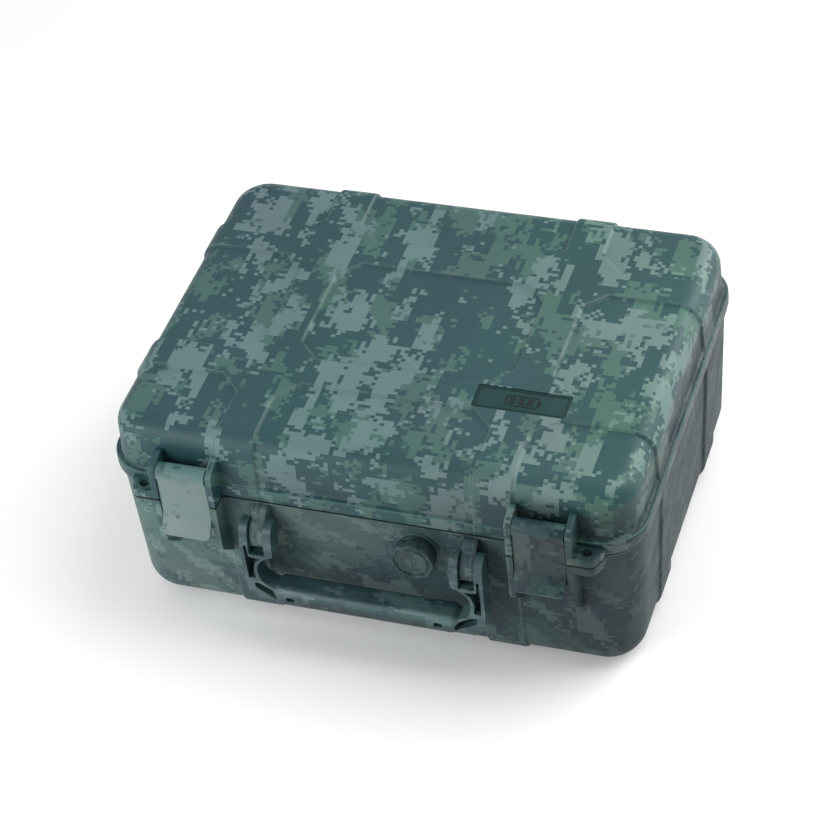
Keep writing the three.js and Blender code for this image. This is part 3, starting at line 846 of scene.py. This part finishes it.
def make_lid_foam():
    """Convoluted foam: rows of soft peaks and hollows that face the packs."""
    pitch = 28.0
    deep = 16.0

    def face(x, y):
        wave = np.cos(2 * math.pi * x / pitch) * np.cos(2 * math.pi * y / pitch)
        return LID_FOAM_BOTTOM + deep * (0.5 - 0.5 * wave)

    inset = FOAM_INSET - 2 + 0.4
    half_x, half_y = HALF_X - inset, HALF_Y - inset
    lines_x = np.linspace(-half_x, half_x, 126)
    lines_y = np.linspace(-half_y, half_y, 96)
    foam = pad("lid_insert", half_x, half_y, 16, lines_x, lines_y, face, 146.0)
    crown = stack("crown", [(inset, 145.5), (inset + 1, 149), (inset + 4, 152.5), (inset + 9.5, 156)],
                  LID_CORE)
    return joined(foam, [crown])


def make_floor_foam():
    """The pad under the block: it follows the curve between the tub's floor and walls."""
    arc_z = RIB + BASE_FILLET
    arc_inset = BASE_INSET + BASE_DRAFT + BASE_FILLET
    radius = BASE_FILLET - WALL - 0.5
    rows = arc(arc_inset, arc_z, radius, 270, 200, 8)
    return stack("floor_pad", [*rows, (rows[-1][0], FLOOR_TOP)], BASE_CORE)


# ---------------------------- material nodes
class Shading:
    """A node tree that ends in one Principled shader, with short ways to add nodes."""

    def __init__(self, name):
        self.material = bpy.data.materials.new(name)
        self.material.use_nodes = True
        self.tree = self.material.node_tree
        self.shader = self.tree.nodes["Principled BSDF"]
        self.place = self.node("ShaderNodeTexCoord").outputs["Object"]

    def node(self, kind, **settings):
        made = self.tree.nodes.new(kind)
        for key, value in settings.items():
            setattr(made, key, value)
        return made

    def feed(self, socket, value):
        if isinstance(value, bpy.types.NodeSocket):
            self.tree.links.new(value, socket)
        else:
            socket.default_value = value

    def math(self, operation, first, second=0.0, third=0.0):
        made = self.node("ShaderNodeMath", operation=operation)
        for socket, value in zip(made.inputs, (first, second, third)):
            self.feed(socket, value)
        return made.outputs[0]

    def vector(self, operation, first, second=None, third=None, scale=None):
        made = self.node("ShaderNodeVectorMath", operation=operation)
        for socket, value in zip(made.inputs, (first, second, third)):
            if value is not None:
                self.feed(socket, value)
        if scale is not None:
            self.feed(made.inputs["Scale"], scale)
        return made.outputs["Value" if operation in ("LENGTH", "DOT_PRODUCT") else "Vector"]

    def parts(self, vector):
        made = self.node("ShaderNodeSeparateXYZ")
        self.feed(made.inputs[0], vector)
        return made.outputs

    def combine(self, x=0.0, y=0.0, z=0.0):
        made = self.node("ShaderNodeCombineXYZ")
        for socket, value in zip(made.inputs, (x, y, z)):
            self.feed(socket, value)
        return made.outputs[0]

    def noise(self, vector, scale, detail=2.0, roughness=0.5):
        made = self.node("ShaderNodeTexNoise")
        self.feed(made.inputs["Vector"], vector)
        made.inputs["Scale"].default_value = scale
        made.inputs["Detail"].default_value = detail
        made.inputs["Roughness"].default_value = roughness
        return made.outputs["Fac"]

    def random(self, vector):
        made = self.node("ShaderNodeTexWhiteNoise", noise_dimensions="3D")
        self.feed(made.inputs["Vector"], vector)
        return made.outputs["Value"]

    def blend(self, share, first, second):
        made = self.node("ShaderNodeMix", data_type="RGBA")
        self.feed(made.inputs["Factor"], share)
        for name, value in (("A", first), ("B", second)):
            socket = next(s for s in made.inputs if s.name == name and s.type == "RGBA")
            self.feed(socket, (*value, 1) if isinstance(value, tuple) else value)
        return next(s for s in made.outputs if s.type == "RGBA")

    def bump(self, height, distance, strength=1.0, normal=None):
        made = self.node("ShaderNodeBump")
        made.inputs["Distance"].default_value = distance
        made.inputs["Strength"].default_value = strength
        self.feed(made.inputs["Height"], height)
        if normal is not None:
            self.feed(made.inputs["Normal"], normal)
        return made.outputs["Normal"]

    def ramp(self, value, low, high, to_low, to_high):
        made = self.node("ShaderNodeMapRange")
        for name, number in (("From Min", low), ("From Max", high), ("To Min", to_low),
                             ("To Max", to_high)):
            made.inputs[name].default_value = number
        self.feed(made.inputs["Value"], value)
        return made.outputs["Result"]

    def finish(self, colour, roughness, normal=None, **others):
        self.feed(self.shader.inputs["Base Color"], (*colour, 1) if isinstance(colour, tuple) else colour)
        self.feed(self.shader.inputs["Roughness"], roughness)
        if normal is not None:
            self.feed(self.shader.inputs["Normal"], normal)
        for name, value in others.items():
            self.feed(self.shader.inputs[name.replace("_", " ")], value)
        return self.material


# ---------------------------- camouflage film
def down_the_wall(n, outward_part):
    """Direction in which the film runs down: straight out of the nearer wall.

    Around a corner the two walls' films meet along an uneven line.
    """
    x, y, _ = n.parts(outward_part)
    uneven = n.ramp(n.noise(n.place, 90, 2), 0.3, 0.7, -5.0, 5.0)
    away_y = n.math("ADD", n.math("ABSOLUTE", y), uneven)
    on_y_wall = n.math("GREATER_THAN", away_y, n.math("ABSOLUTE", x))
    on_x_wall = n.math("SUBTRACT", 1.0, on_y_wall)
    return n.combine(n.math("MULTIPLY", n.math("SIGN", x), on_x_wall),
                     n.math("MULTIPLY", n.math("SIGN", y), on_y_wall))


def film_place(n, case, core, stretch):
    """Place on the printed film, and the inset from the flange, in millimetres.

    The film is the plan, unrolled down the walls. stretch is how much film lies on a
    millimetre of wall.
    """
    half = (HALF_X - core, HALF_Y - core, 0)
    low = tuple(-value for value in half)
    inner = n.vector("MINIMUM", n.vector("MAXIMUM", case, low), half)
    flat = n.vector("MULTIPLY", case, (1, 1, 0))
    outward_part = n.vector("SUBTRACT", flat, inner)
    down = n.math("SUBTRACT", HEIGHT - RIB, n.parts(case)[2])
    slide = n.vector("SCALE", down_the_wall(n, outward_part), scale=n.math("MULTIPLY", down, stretch))
    inset = n.math("SUBTRACT", core, n.vector("LENGTH", outward_part))
    return n.vector("ADD", flat, slide), inset


def block_noise(n, place, block_size, patch, lean, seed, detail):
    """Noise that has one value all over each printed block. lean makes its patches slant."""
    corner = n.vector("SNAP", place, (*block_size, 1))
    slant = n.combine(n.math("MULTIPLY", n.parts(corner)[1], lean))
    scaled = n.vector("MULTIPLY", n.vector("ADD", corner, slant), (1 / patch[0], 1 / patch[1], 0))
    return n.noise(n.vector("ADD", scaled, (seed, seed * 0.37, seed * 0.11)), 1.0, detail)


def patches(n, place, seed, patch, share, cell, lean, stray, soft):
    """Where one colour of the digital pattern lies: blocky patches with stray squares."""
    wide = block_noise(n, place, (2 * cell[0], 3 * cell[1]), patch, lean, seed, 1.5)
    fine = block_noise(n, place, cell, (cell[0] * 3.3, cell[1] * 5.9), lean, seed, 1.0)
    corner = n.vector("SNAP", place, (*cell, 1))
    single = n.random(n.vector("ADD", corner, (seed, seed, 0)))
    value = n.math("ADD", wide, n.math("MULTIPLY", n.math("SUBTRACT", fine, 0.5), 0.30))
    value = n.math("ADD", value, n.math("MULTIPLY", n.math("SUBTRACT", single, 0.5), stray))
    return n.ramp(value, share - soft, share + soft, 0.0, 1.0)


def faded(n, case, colour, fades):
    """Multiplies a colour by tones that come in along the case.

    Each fade is a tone and one or more (axis, start, end) in millimetres.
    """
    along = dict(zip("XYZ", n.parts(case)))
    for tone, *spans in fades:
        share = 1.0
        for axis, start, end in spans:
            share = n.math("MULTIPLY", share, n.ramp(along[axis], start, end, 0.0, 1.0))
        colour = n.vector("MULTIPLY", colour, n.blend(share, (1.0, 1.0, 1.0), tone))
    return colour


def rib_edge_highlight(n, case):
    """1 along the upper edges of the raised bands, where a painted highlight goes, broken up by noise."""
    mid_x, half_x = sum(RIB_X) / 2, (RIB_X[1] - RIB_X[0]) / 2
    x, y, _ = n.parts(case)
    away_x = n.math("ABSOLUTE", n.math("SUBTRACT", n.math("ABSOLUTE", x), mid_x))
    inside = n.math("SUBTRACT", half_x, away_x)
    for low, high in RIB_Y:
        mid_y, half_y = (low + high) / 2, (high - low) / 2
        away_y = n.math("ABSOLUTE", n.math("SUBTRACT", y, mid_y))
        inside = n.math("MAXIMUM", inside, n.math("SUBTRACT", half_y, away_y))
        octagon = n.math("SUBTRACT", half_x + half_y + CROTCH, n.math("ADD", away_x, away_y))
        octagon = n.math("DIVIDE", octagon, math.sqrt(2))
        octagon = n.math("MINIMUM", octagon, n.math("SUBTRACT", half_x + CROTCH, away_x))
        octagon = n.math("MINIMUM", octagon, n.math("SUBTRACT", half_y + CROTCH, away_y))
        inside = n.math("MAXIMUM", inside, octagon)
    from_edge = n.math("ABSOLUTE", n.math("SUBTRACT", inside, RIB_EDGE * 0.7))
    broken_up = n.ramp(n.noise(n.place, 60, 3), 0.35, 0.6, 0.15, 1.0)
    return n.math("MULTIPLY", n.ramp(from_edge, 0.0, 0.9, 1.0, 0.0), broken_up)


def flange_highlight(n, inset, height):
    """1 along the upper edge of the lid's flange, where a painted highlight goes."""
    from_edge = n.math("ABSOLUTE", n.math("SUBTRACT", height, FLANGE_TOP - 0.3))
    near = n.ramp(from_edge, 0.2, 0.8, 1.0, 0.0)
    at_flange = n.math("GREATER_THAN", inset, -0.5)
    outermost = n.math("MULTIPLY", at_flange, n.ramp(inset, 0.7, 1.5, 1.0, 0.0))
    return n.math("MULTIPLY", near, outermost)


def bare_plastic_and_seam_shadow(n, inset, height):
    """1 at the parting line and on the rims inside it, where the film does not reach; at the parting line
    the near-black also stands for a painted shadow of the seam gap.
    """
    from_seam = n.math("SUBTRACT", height, SEAM)
    line = n.math("MULTIPLY", n.math("GREATER_THAN", from_seam, -1.1),
                  n.math("LESS_THAN", from_seam, 0.36))
    rim = n.math("MULTIPLY", n.math("GREATER_THAN", from_seam, -12.6),
                 n.math("LESS_THAN", from_seam, 5.0))
    rim = n.math("MULTIPLY", rim, n.math("GREATER_THAN", inset, 3.25))
    return n.math("MAXIMUM", line, rim)


def camo(name, dark, green, pale, core=LID_CORE, stretch=0.75, lean=0.0, seed=3.0, patch=(17, 34),
         pale_patch=None, pale_share=0.56, green_share=0.555, cell=(2.7, 2.7), stray=0.13,
         soft=0.004, roughness=0.46, shine=0.3, fades=(), shell_part=False):
    """Printed camouflage film over textured plastic, with a satin clear coat.

    fades say how the colours change along the case; the shells and the handle use them for painted light
    and shade. A shell part has rims of plastic without film, a near-black parting line that is also a
    painted shadow of the seam gap, and painted highlights along the upper edges of its raised bands and
    of the lid's flange.
    """
    n = Shading(name)
    case = n.vector("SUBTRACT", n.vector("SCALE", n.place, scale=1 / MM), (0, SHIFT, 0))
    place, inset = film_place(n, case, core, stretch)
    pale_here = patches(n, place, seed, pale_patch or patch, pale_share, cell, lean, stray, soft)
    green_here = patches(n, place, seed + 17.3, patch, green_share, cell, lean, stray, soft)
    colour = n.blend(green_here, dark, green)
    colour = n.blend(pale_here, colour, pale)
    tint = n.ramp(n.noise(n.place, 11, 1), 0.35, 0.65, 0.0, 1.0)
    colour = n.vector("MULTIPLY", colour, n.blend(tint, (1.06, 0.97, 1.02), (0.95, 1.02, 0.99)))
    colour = faded(n, case, colour, fades)
    if shell_part:
        # Painted highlight along the upper edges of the raised bands.
        edge = n.math("MULTIPLY", rib_edge_highlight(n, case), 0.6)
        colour = n.blend(edge, colour, (0.12, 0.18, 0.18))
        # Painted highlight along the upper edge of the lid's flange.
        edge = n.math("MULTIPLY", flange_highlight(n, inset, n.parts(case)[2]), 0.55)
        colour = n.blend(edge, colour, (0.070, 0.165, 0.170))
        # Near-black plastic without film on the inside rims and at the parting line, where it is also a
        # painted shadow of the seam gap.
        bare_and_seam_shade = bare_plastic_and_seam_shadow(n, inset, n.parts(case)[2])
        colour = n.blend(bare_and_seam_shade, colour, (0.006, 0.009, 0.010))
    drift = n.ramp(n.noise(n.place, 14, 3), 0.3, 0.7, 0.92, 1.08)
    grain = n.ramp(n.noise(n.place, 2600, 1), 0.25, 0.75, 0.93, 1.07)
    colour = n.vector("SCALE", colour, scale=n.math("MULTIPLY", drift, grain))
    texture = n.noise(n.place, 1500, 2)
    waves = n.noise(n.place, 55, 1)
    normal = n.bump(waves, 0.0003, 0.5)
    normal = n.bump(texture, 0.00005, 0.6, normal)
    rough = n.ramp(n.noise(n.place, 90, 3), 0.3, 0.7, roughness - 0.04, roughness + 0.05)
    return n.finish(colour, rough, normal, Specular_IOR_Level=shine)


# ---------------------------- other materials
def plate_material():
    n = Shading("badge_green")
    grain = n.noise(n.place, 900, 2)
    colour = n.vector("SCALE", (0.010, 0.046, 0.044), scale=n.ramp(grain, 0.3, 0.7, 0.85, 1.15))
    return n.finish(colour, 0.45, n.bump(grain, 0.00004, 0.5), Specular_IOR_Level=0.3)


def mark_material():
    n = Shading("badge_print")
    grain = n.noise(n.place, 1200, 2)
    colour = n.vector("SCALE", (0.006, 0.017, 0.017), scale=n.ramp(grain, 0.3, 0.7, 0.8, 1.2))
    return n.finish(colour, 0.5, n.bump(grain, 0.00003, 0.5), Specular_IOR_Level=0.3)


def steel_material():
    n = Shading("brushed_pin")
    stretched = n.vector("MULTIPLY", n.place, (40, 900, 900))
    scratches = n.noise(stretched, 1.0, 3)
    colour = n.vector("SCALE", (0.62, 0.63, 0.64), scale=n.ramp(scratches, 0.3, 0.7, 0.85, 1.1))
    rough = n.ramp(scratches, 0.3, 0.7, 0.22, 0.42)
    return n.finish(colour, rough, n.bump(scratches, 0.00004, 0.4), Metallic=1.0)


def rubber_material():
    n = Shading("seal_rubber")
    grain = n.noise(n.place, 1400, 3)
    colour = n.vector("SCALE", (0.018, 0.019, 0.021), scale=n.ramp(grain, 0.3, 0.7, 0.7, 1.4))
    return n.finish(colour, n.ramp(grain, 0.3, 0.7, 0.6, 0.8), n.bump(grain, 0.00008, 0.6))


def foam_material(name, cubes=False):
    """Open-cell foam: small dark pores in soft charcoal, with the cube cuts if it has them."""
    n = Shading(name)
    pores = n.node("ShaderNodeTexVoronoi", feature="F1")
    n.feed(pores.inputs["Vector"], n.place)
    pores.inputs["Scale"].default_value = 900
    pore = n.ramp(pores.outputs["Distance"], 0.1, 0.6, 0.0, 1.0)
    cloud = n.ramp(n.noise(n.place, 60, 4), 0.3, 0.7, 0.85, 1.15)
    shade = n.math("MULTIPLY", n.ramp(pore, 0.0, 1.0, 0.55, 1.25), cloud)
    height = pore
    if cubes:
        case = n.vector("SUBTRACT", n.vector("SCALE", n.place, scale=1 / MM), (CUBE / 2, SHIFT, 0))
        x, y, _ = n.parts(case)
        lines = [n.math("PINGPONG", value, CUBE / 2) for value in (x, y)]
        near = n.math("MINIMUM", *lines)
        slit = n.ramp(near, 0.0, 0.8, 0.0, 1.0)
        on_top = n.ramp(n.parts(case)[2], BLOCK_TOP - 4, BLOCK_TOP - 2, 0.2, 0.65)
        shadow = n.math("MULTIPLY", n.math("SUBTRACT", 1.0, slit), on_top)
        shade = n.math("MULTIPLY", shade, n.math("SUBTRACT", 1.0, shadow))
        height = n.math("ADD", pore, n.math("MULTIPLY", slit, 2.5))
    colour = n.vector("SCALE", (0.034, 0.036, 0.039), scale=shade)
    return n.finish(colour, 0.95, n.bump(height, 0.0003, 0.7), Specular_IOR_Level=0.2)


def black_plastic():
    n = Shading("black_plastic")
    grain = n.noise(n.place, 1100, 2)
    colour = n.vector("SCALE", (0.028, 0.029, 0.031), scale=n.ramp(grain, 0.3, 0.7, 0.8, 1.2))
    return n.finish(colour, 0.5, n.bump(grain, 0.00005, 0.5))


# ---------------------------- assembling the pieces
def dress_shells():
    """Lid and base. Their fades paint light and shade along each of them."""
    # Painted light and shade on the lid: darker to the left, lighter to the right, darker down the walls
    # and much darker on the lower walls at the right.
    lid_painted_light = (((0.93, 0.95, 0.98), ("X", 20, -140)),
                 ((1.18, 1.18, 1.08), ("X", 20, 140)),
                 ((0.92, 0.86, 0.88), ("Z", 150, 128)),
                 ((0.50, 0.48, 0.52), ("Z", 155, 137), ("X", 10, 140)))
    # Painted light and shade on the base: lighter at the left end, darker towards the right.
    base_painted_light = (((1.38, 1.35, 1.32), ("X", -60, -150)),
                  ((0.88, 0.88, 0.92), ("X", -60, 30)),
                  ((0.54, 0.51, 0.55), ("X", 55, 130)))
    lid_film = camo("lid_film", (0.024, 0.071, 0.080), (0.056, 0.128, 0.112), (0.112, 0.188, 0.187),
                    stretch=1.25, patch=(19, 36), pale_share=0.567, cell=(2.8, 2.8),
                    fades=lid_painted_light, shell_part=True)
    base_film = camo("base_film", (0.041, 0.073, 0.079), (0.062, 0.106, 0.103), (0.096, 0.148, 0.142),
                     core=BASE_CORE, stretch=1.45, lean=0.5, seed=8.0, patch=(40, 76),
                     pale_patch=(22, 36), pale_share=0.575, green_share=0.49, cell=(2.5, 2.5),
                     stray=0.08, soft=0.015, roughness=0.56, shine=0.22, fades=base_painted_light,
                     shell_part=True)
    finish_piece(make_lid(), "lid", lid_film, "camo_shell", "lid_shell")
    finish_piece(make_base(), "base", base_film, "camo_shell", "base_shell")


def dress_fittings():
    """Levers, handle, valve and name plate, each with its own print of the film."""
    handle_film = camo("handle_film", (0.018, 0.048, 0.054), (0.027, 0.066, 0.072), (0.058, 0.110, 0.110),
                       seed=21.0, patch=(30, 9), pale_patch=(44, 10), lean=0.3, pale_share=0.57,
                       green_share=0.48, cell=(4.2, 1.9), stray=0.14, soft=0.02, roughness=0.38,
                       shine=0.45,
                       # Painted shade on the lower front face of the grip and a painted highlight along
                       # its front top edge.
                       fades=(((0.40, 0.41, 0.42), ("Z", 53, 46), ("Y", -156, -159)),
                              ((1.55, 1.50, 1.45), ("Y", -157.5, -160), ("Z", 51, 54))))
    valve_film = camo("valve_film", (0.019, 0.038, 0.043), (0.024, 0.047, 0.051), (0.040, 0.069, 0.073),
                      seed=2.0, patch=(9, 9), pale_share=0.60, green_share=0.50, cell=(1.3, 1.3),
                      soft=0.03)
    # The two latch films differ in tone partly by their print and partly as painted light and shade: the
    # left latch lit from the front left, the right latch in the shade of the front right.
    pale_film = camo("left_latch_film", (0.070, 0.113, 0.117), (0.125, 0.175, 0.174),
                     (0.152, 0.205, 0.204), seed=5.0, patch=(24, 40), pale_share=0.44,
                     green_share=0.40, stray=0.20, fades=(((0.55, 0.78, 0.80), ("Z", 134, 140)),))
    dark_film = camo("right_latch_film", (0.013, 0.023, 0.029), (0.025, 0.041, 0.043),
                     (0.044, 0.066, 0.064), seed=12.0, patch=(22, 30), pale_share=0.55,
                     green_share=0.50, soft=0.01,
                     fades=(((0.80, 1.30, 1.35), ("Z", 133, 138)), ((0.70, 1.15, 1.12), ("Z", 103, 99))))
    for (side, word), film in zip(SIDES, (dark_film, pale_film)):
        piece = lever(side)
        piece.name = f"lever_{word}"
        finish_piece(piece, f"latch_{word}", film, "camo_fittings", f"latch_lever_{word}")
    finish_piece(make_handle(), "handle", handle_film, "camo_fittings", "carry_handle")
    finish_piece(make_valve_body(), "base", valve_film, "camo_fittings", "valve_body")
    finish_piece(make_knob(), "valve_cap", valve_film, "camo_fittings", "valve_knob", sharp=50)
    plate, marks = make_plate()
    finish_piece(plate, "lid", plate_material(), "plate", "name_plate")
    marks.name = "badge_marks"
    finish_piece(marks, "lid", mark_material(), "plate")


def dress_pins():
    steel = steel_material()
    latch_half = EAR_GAP / 2 + EAR - 1
    handle_half = HANDLE_HALF - LUG_X - 1
    kinds = (("latch_pin", "lid", PIN_RADIUS, LATCH_X, latch_half, LATCH_Y, LATCH_Z),
             ("hinge_pin", "base", PIN_RADIUS, HINGE_X, HINGE_WIDTH / 2 - 1, HINGE_Y, HINGE_Z),
             ("handle_pin", "base", HANDLE_PIN_RADIUS, LUG_X, handle_half, PIVOT_Y, PIVOT_Z))
    for kind, body, *sizes in kinds:
        for side, word in SIDES:
            pin = make_pin(f"steel_{kind}_{word}", side, *sizes)
            finish_piece(pin, body, steel, "pin_steel", f"{kind}_{word}")


def dress_inside():
    """Seal, foam, and the two valve pieces that keep their CAD meshes."""
    rubber = rubber_material()
    soft = foam_material("foam")
    finish_piece(make_seal(), "lid", rubber, "seal_rubber", "lid_seal")
    for foam, body, material, node in (
            (make_battery_foam(), "base", foam_material("cut_foam", True), "battery_foam"),
            (make_lid_foam(), "lid", soft, "lid_foam"),
            (make_floor_foam(), "base", soft, "floor_foam")):
        finish_piece(foam, body, material, "foam", node, sharp=30)
    for node, material in (("valve_o_ring", rubber), ("valve_nut", black_plastic())):
        mesh = frame["nodes"][node].data
        mesh.materials.clear()
        mesh.materials.append(material)


# ---------------------------- camera, floor and light
def make_camera():
    """The photograph's view: from the front right, 42 degrees above the floor."""
    azimuth, elevation, roll = (math.radians(a) for a in (22.367, 42.068, -7.102))
    back = Vector((math.sin(azimuth) * math.cos(elevation), -math.cos(azimuth) * math.cos(elevation),
                   math.sin(elevation)))
    right = (-back).cross(Vector((0, 0, 1))).normalized()
    up = right.cross(-back)
    data = bpy.data.cameras.new("camera")
    data.sensor_width = 36.0
    data.lens = 119.54
    data.clip_end = 20
    camera = bpy.data.objects.new("camera", data)
    camera.location = put([(506.7, -1272.3, 1322.5)])[0]
    turned_right = right * math.cos(roll) + up * math.sin(roll)
    turned_up = -right * math.sin(roll) + up * math.cos(roll)
    rotation = Matrix((turned_right, turned_up, back)).transposed()
    camera.rotation_euler = rotation.to_euler()
    bpy.context.scene.collection.objects.link(camera)
    bpy.context.scene.camera = camera


def make_floor():
    """A pale studio floor just under the case."""
    size = 6.0
    mesh = bpy.data.meshes.new("floor")
    corners = [(-size, -size, 0), (size, -size, 0), (size, size, 0), (-size, size, 0)]
    mesh.from_pydata(corners, [], [(0, 1, 2, 3)])
    floor = bpy.data.objects.new("floor", mesh)
    floor.location.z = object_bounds()[0][2] - 0.0002
    bpy.context.scene.collection.objects.link(floor)
    n = Shading("floor_paint")
    floor.data.materials.append(n.finish((0.95, 0.95, 0.95), 0.9, Emission_Strength=0.08,
                                         Emission_Color=(1.0, 1.0, 1.0, 1.0)))


def area_light(name, location, target, size, power):
    data = bpy.data.lights.new(name, "AREA")
    data.shape = "RECTANGLE"
    data.size, data.size_y = size
    data.energy = power
    light = bpy.data.objects.new(name, data)
    light.location = location
    aim = Vector(target) - Vector(location)
    light.rotation_euler = aim.to_track_quat("-Z", "Y").to_euler()
    bpy.context.scene.collection.objects.link(light)


def make_light():
    """Four soft boxes, and a sky that is brighter from the back left than from the right front."""
    world = bpy.data.worlds.new("studio")
    world.use_nodes = True
    nodes, links = world.node_tree.nodes, world.node_tree.links
    direction = nodes.new("ShaderNodeTexCoord").outputs["Generated"]
    toward = nodes.new("ShaderNodeVectorMath")
    toward.operation = "DOT_PRODUCT"
    toward.inputs[1].default_value = (0.6, -0.8, 0.0)
    links.new(direction, toward.inputs[0])
    fall = nodes.new("ShaderNodeMapRange")
    fall.inputs["To Min"].default_value = 0.60
    fall.inputs["To Max"].default_value = 0.12
    links.new(toward.outputs["Value"], fall.inputs["Value"])
    background = nodes["Background"]
    background.inputs["Color"].default_value = (1, 1, 1, 1)
    links.new(fall.outputs["Result"], background.inputs["Strength"])
    bpy.context.scene.world = world
    area_light("top_box", (0.8, 0.3, 1.5), (0, 0, 0.1), (1.3, 1.3), 15)
    area_light("front_box", (-0.6, -0.85, 0.5), (-0.1, 0, 0.08), (0.7, 0.6), 6.5)
    area_light("side_box", (1.2, 0.5, 0.6), (0.1, 0, 0.08), (0.7, 0.7), 4)
    area_light("back_box", (0.95, 1.25, 0.75), (0.15, 0, 0.15), (0.6, 0.6), 8)
    bpy.context.scene.view_settings.view_transform = "Standard"


make_camera()
make_floor()
make_light()
dress_shells()
dress_fittings()
dress_pins()
dress_inside()

bpy.context.view_layer.update()
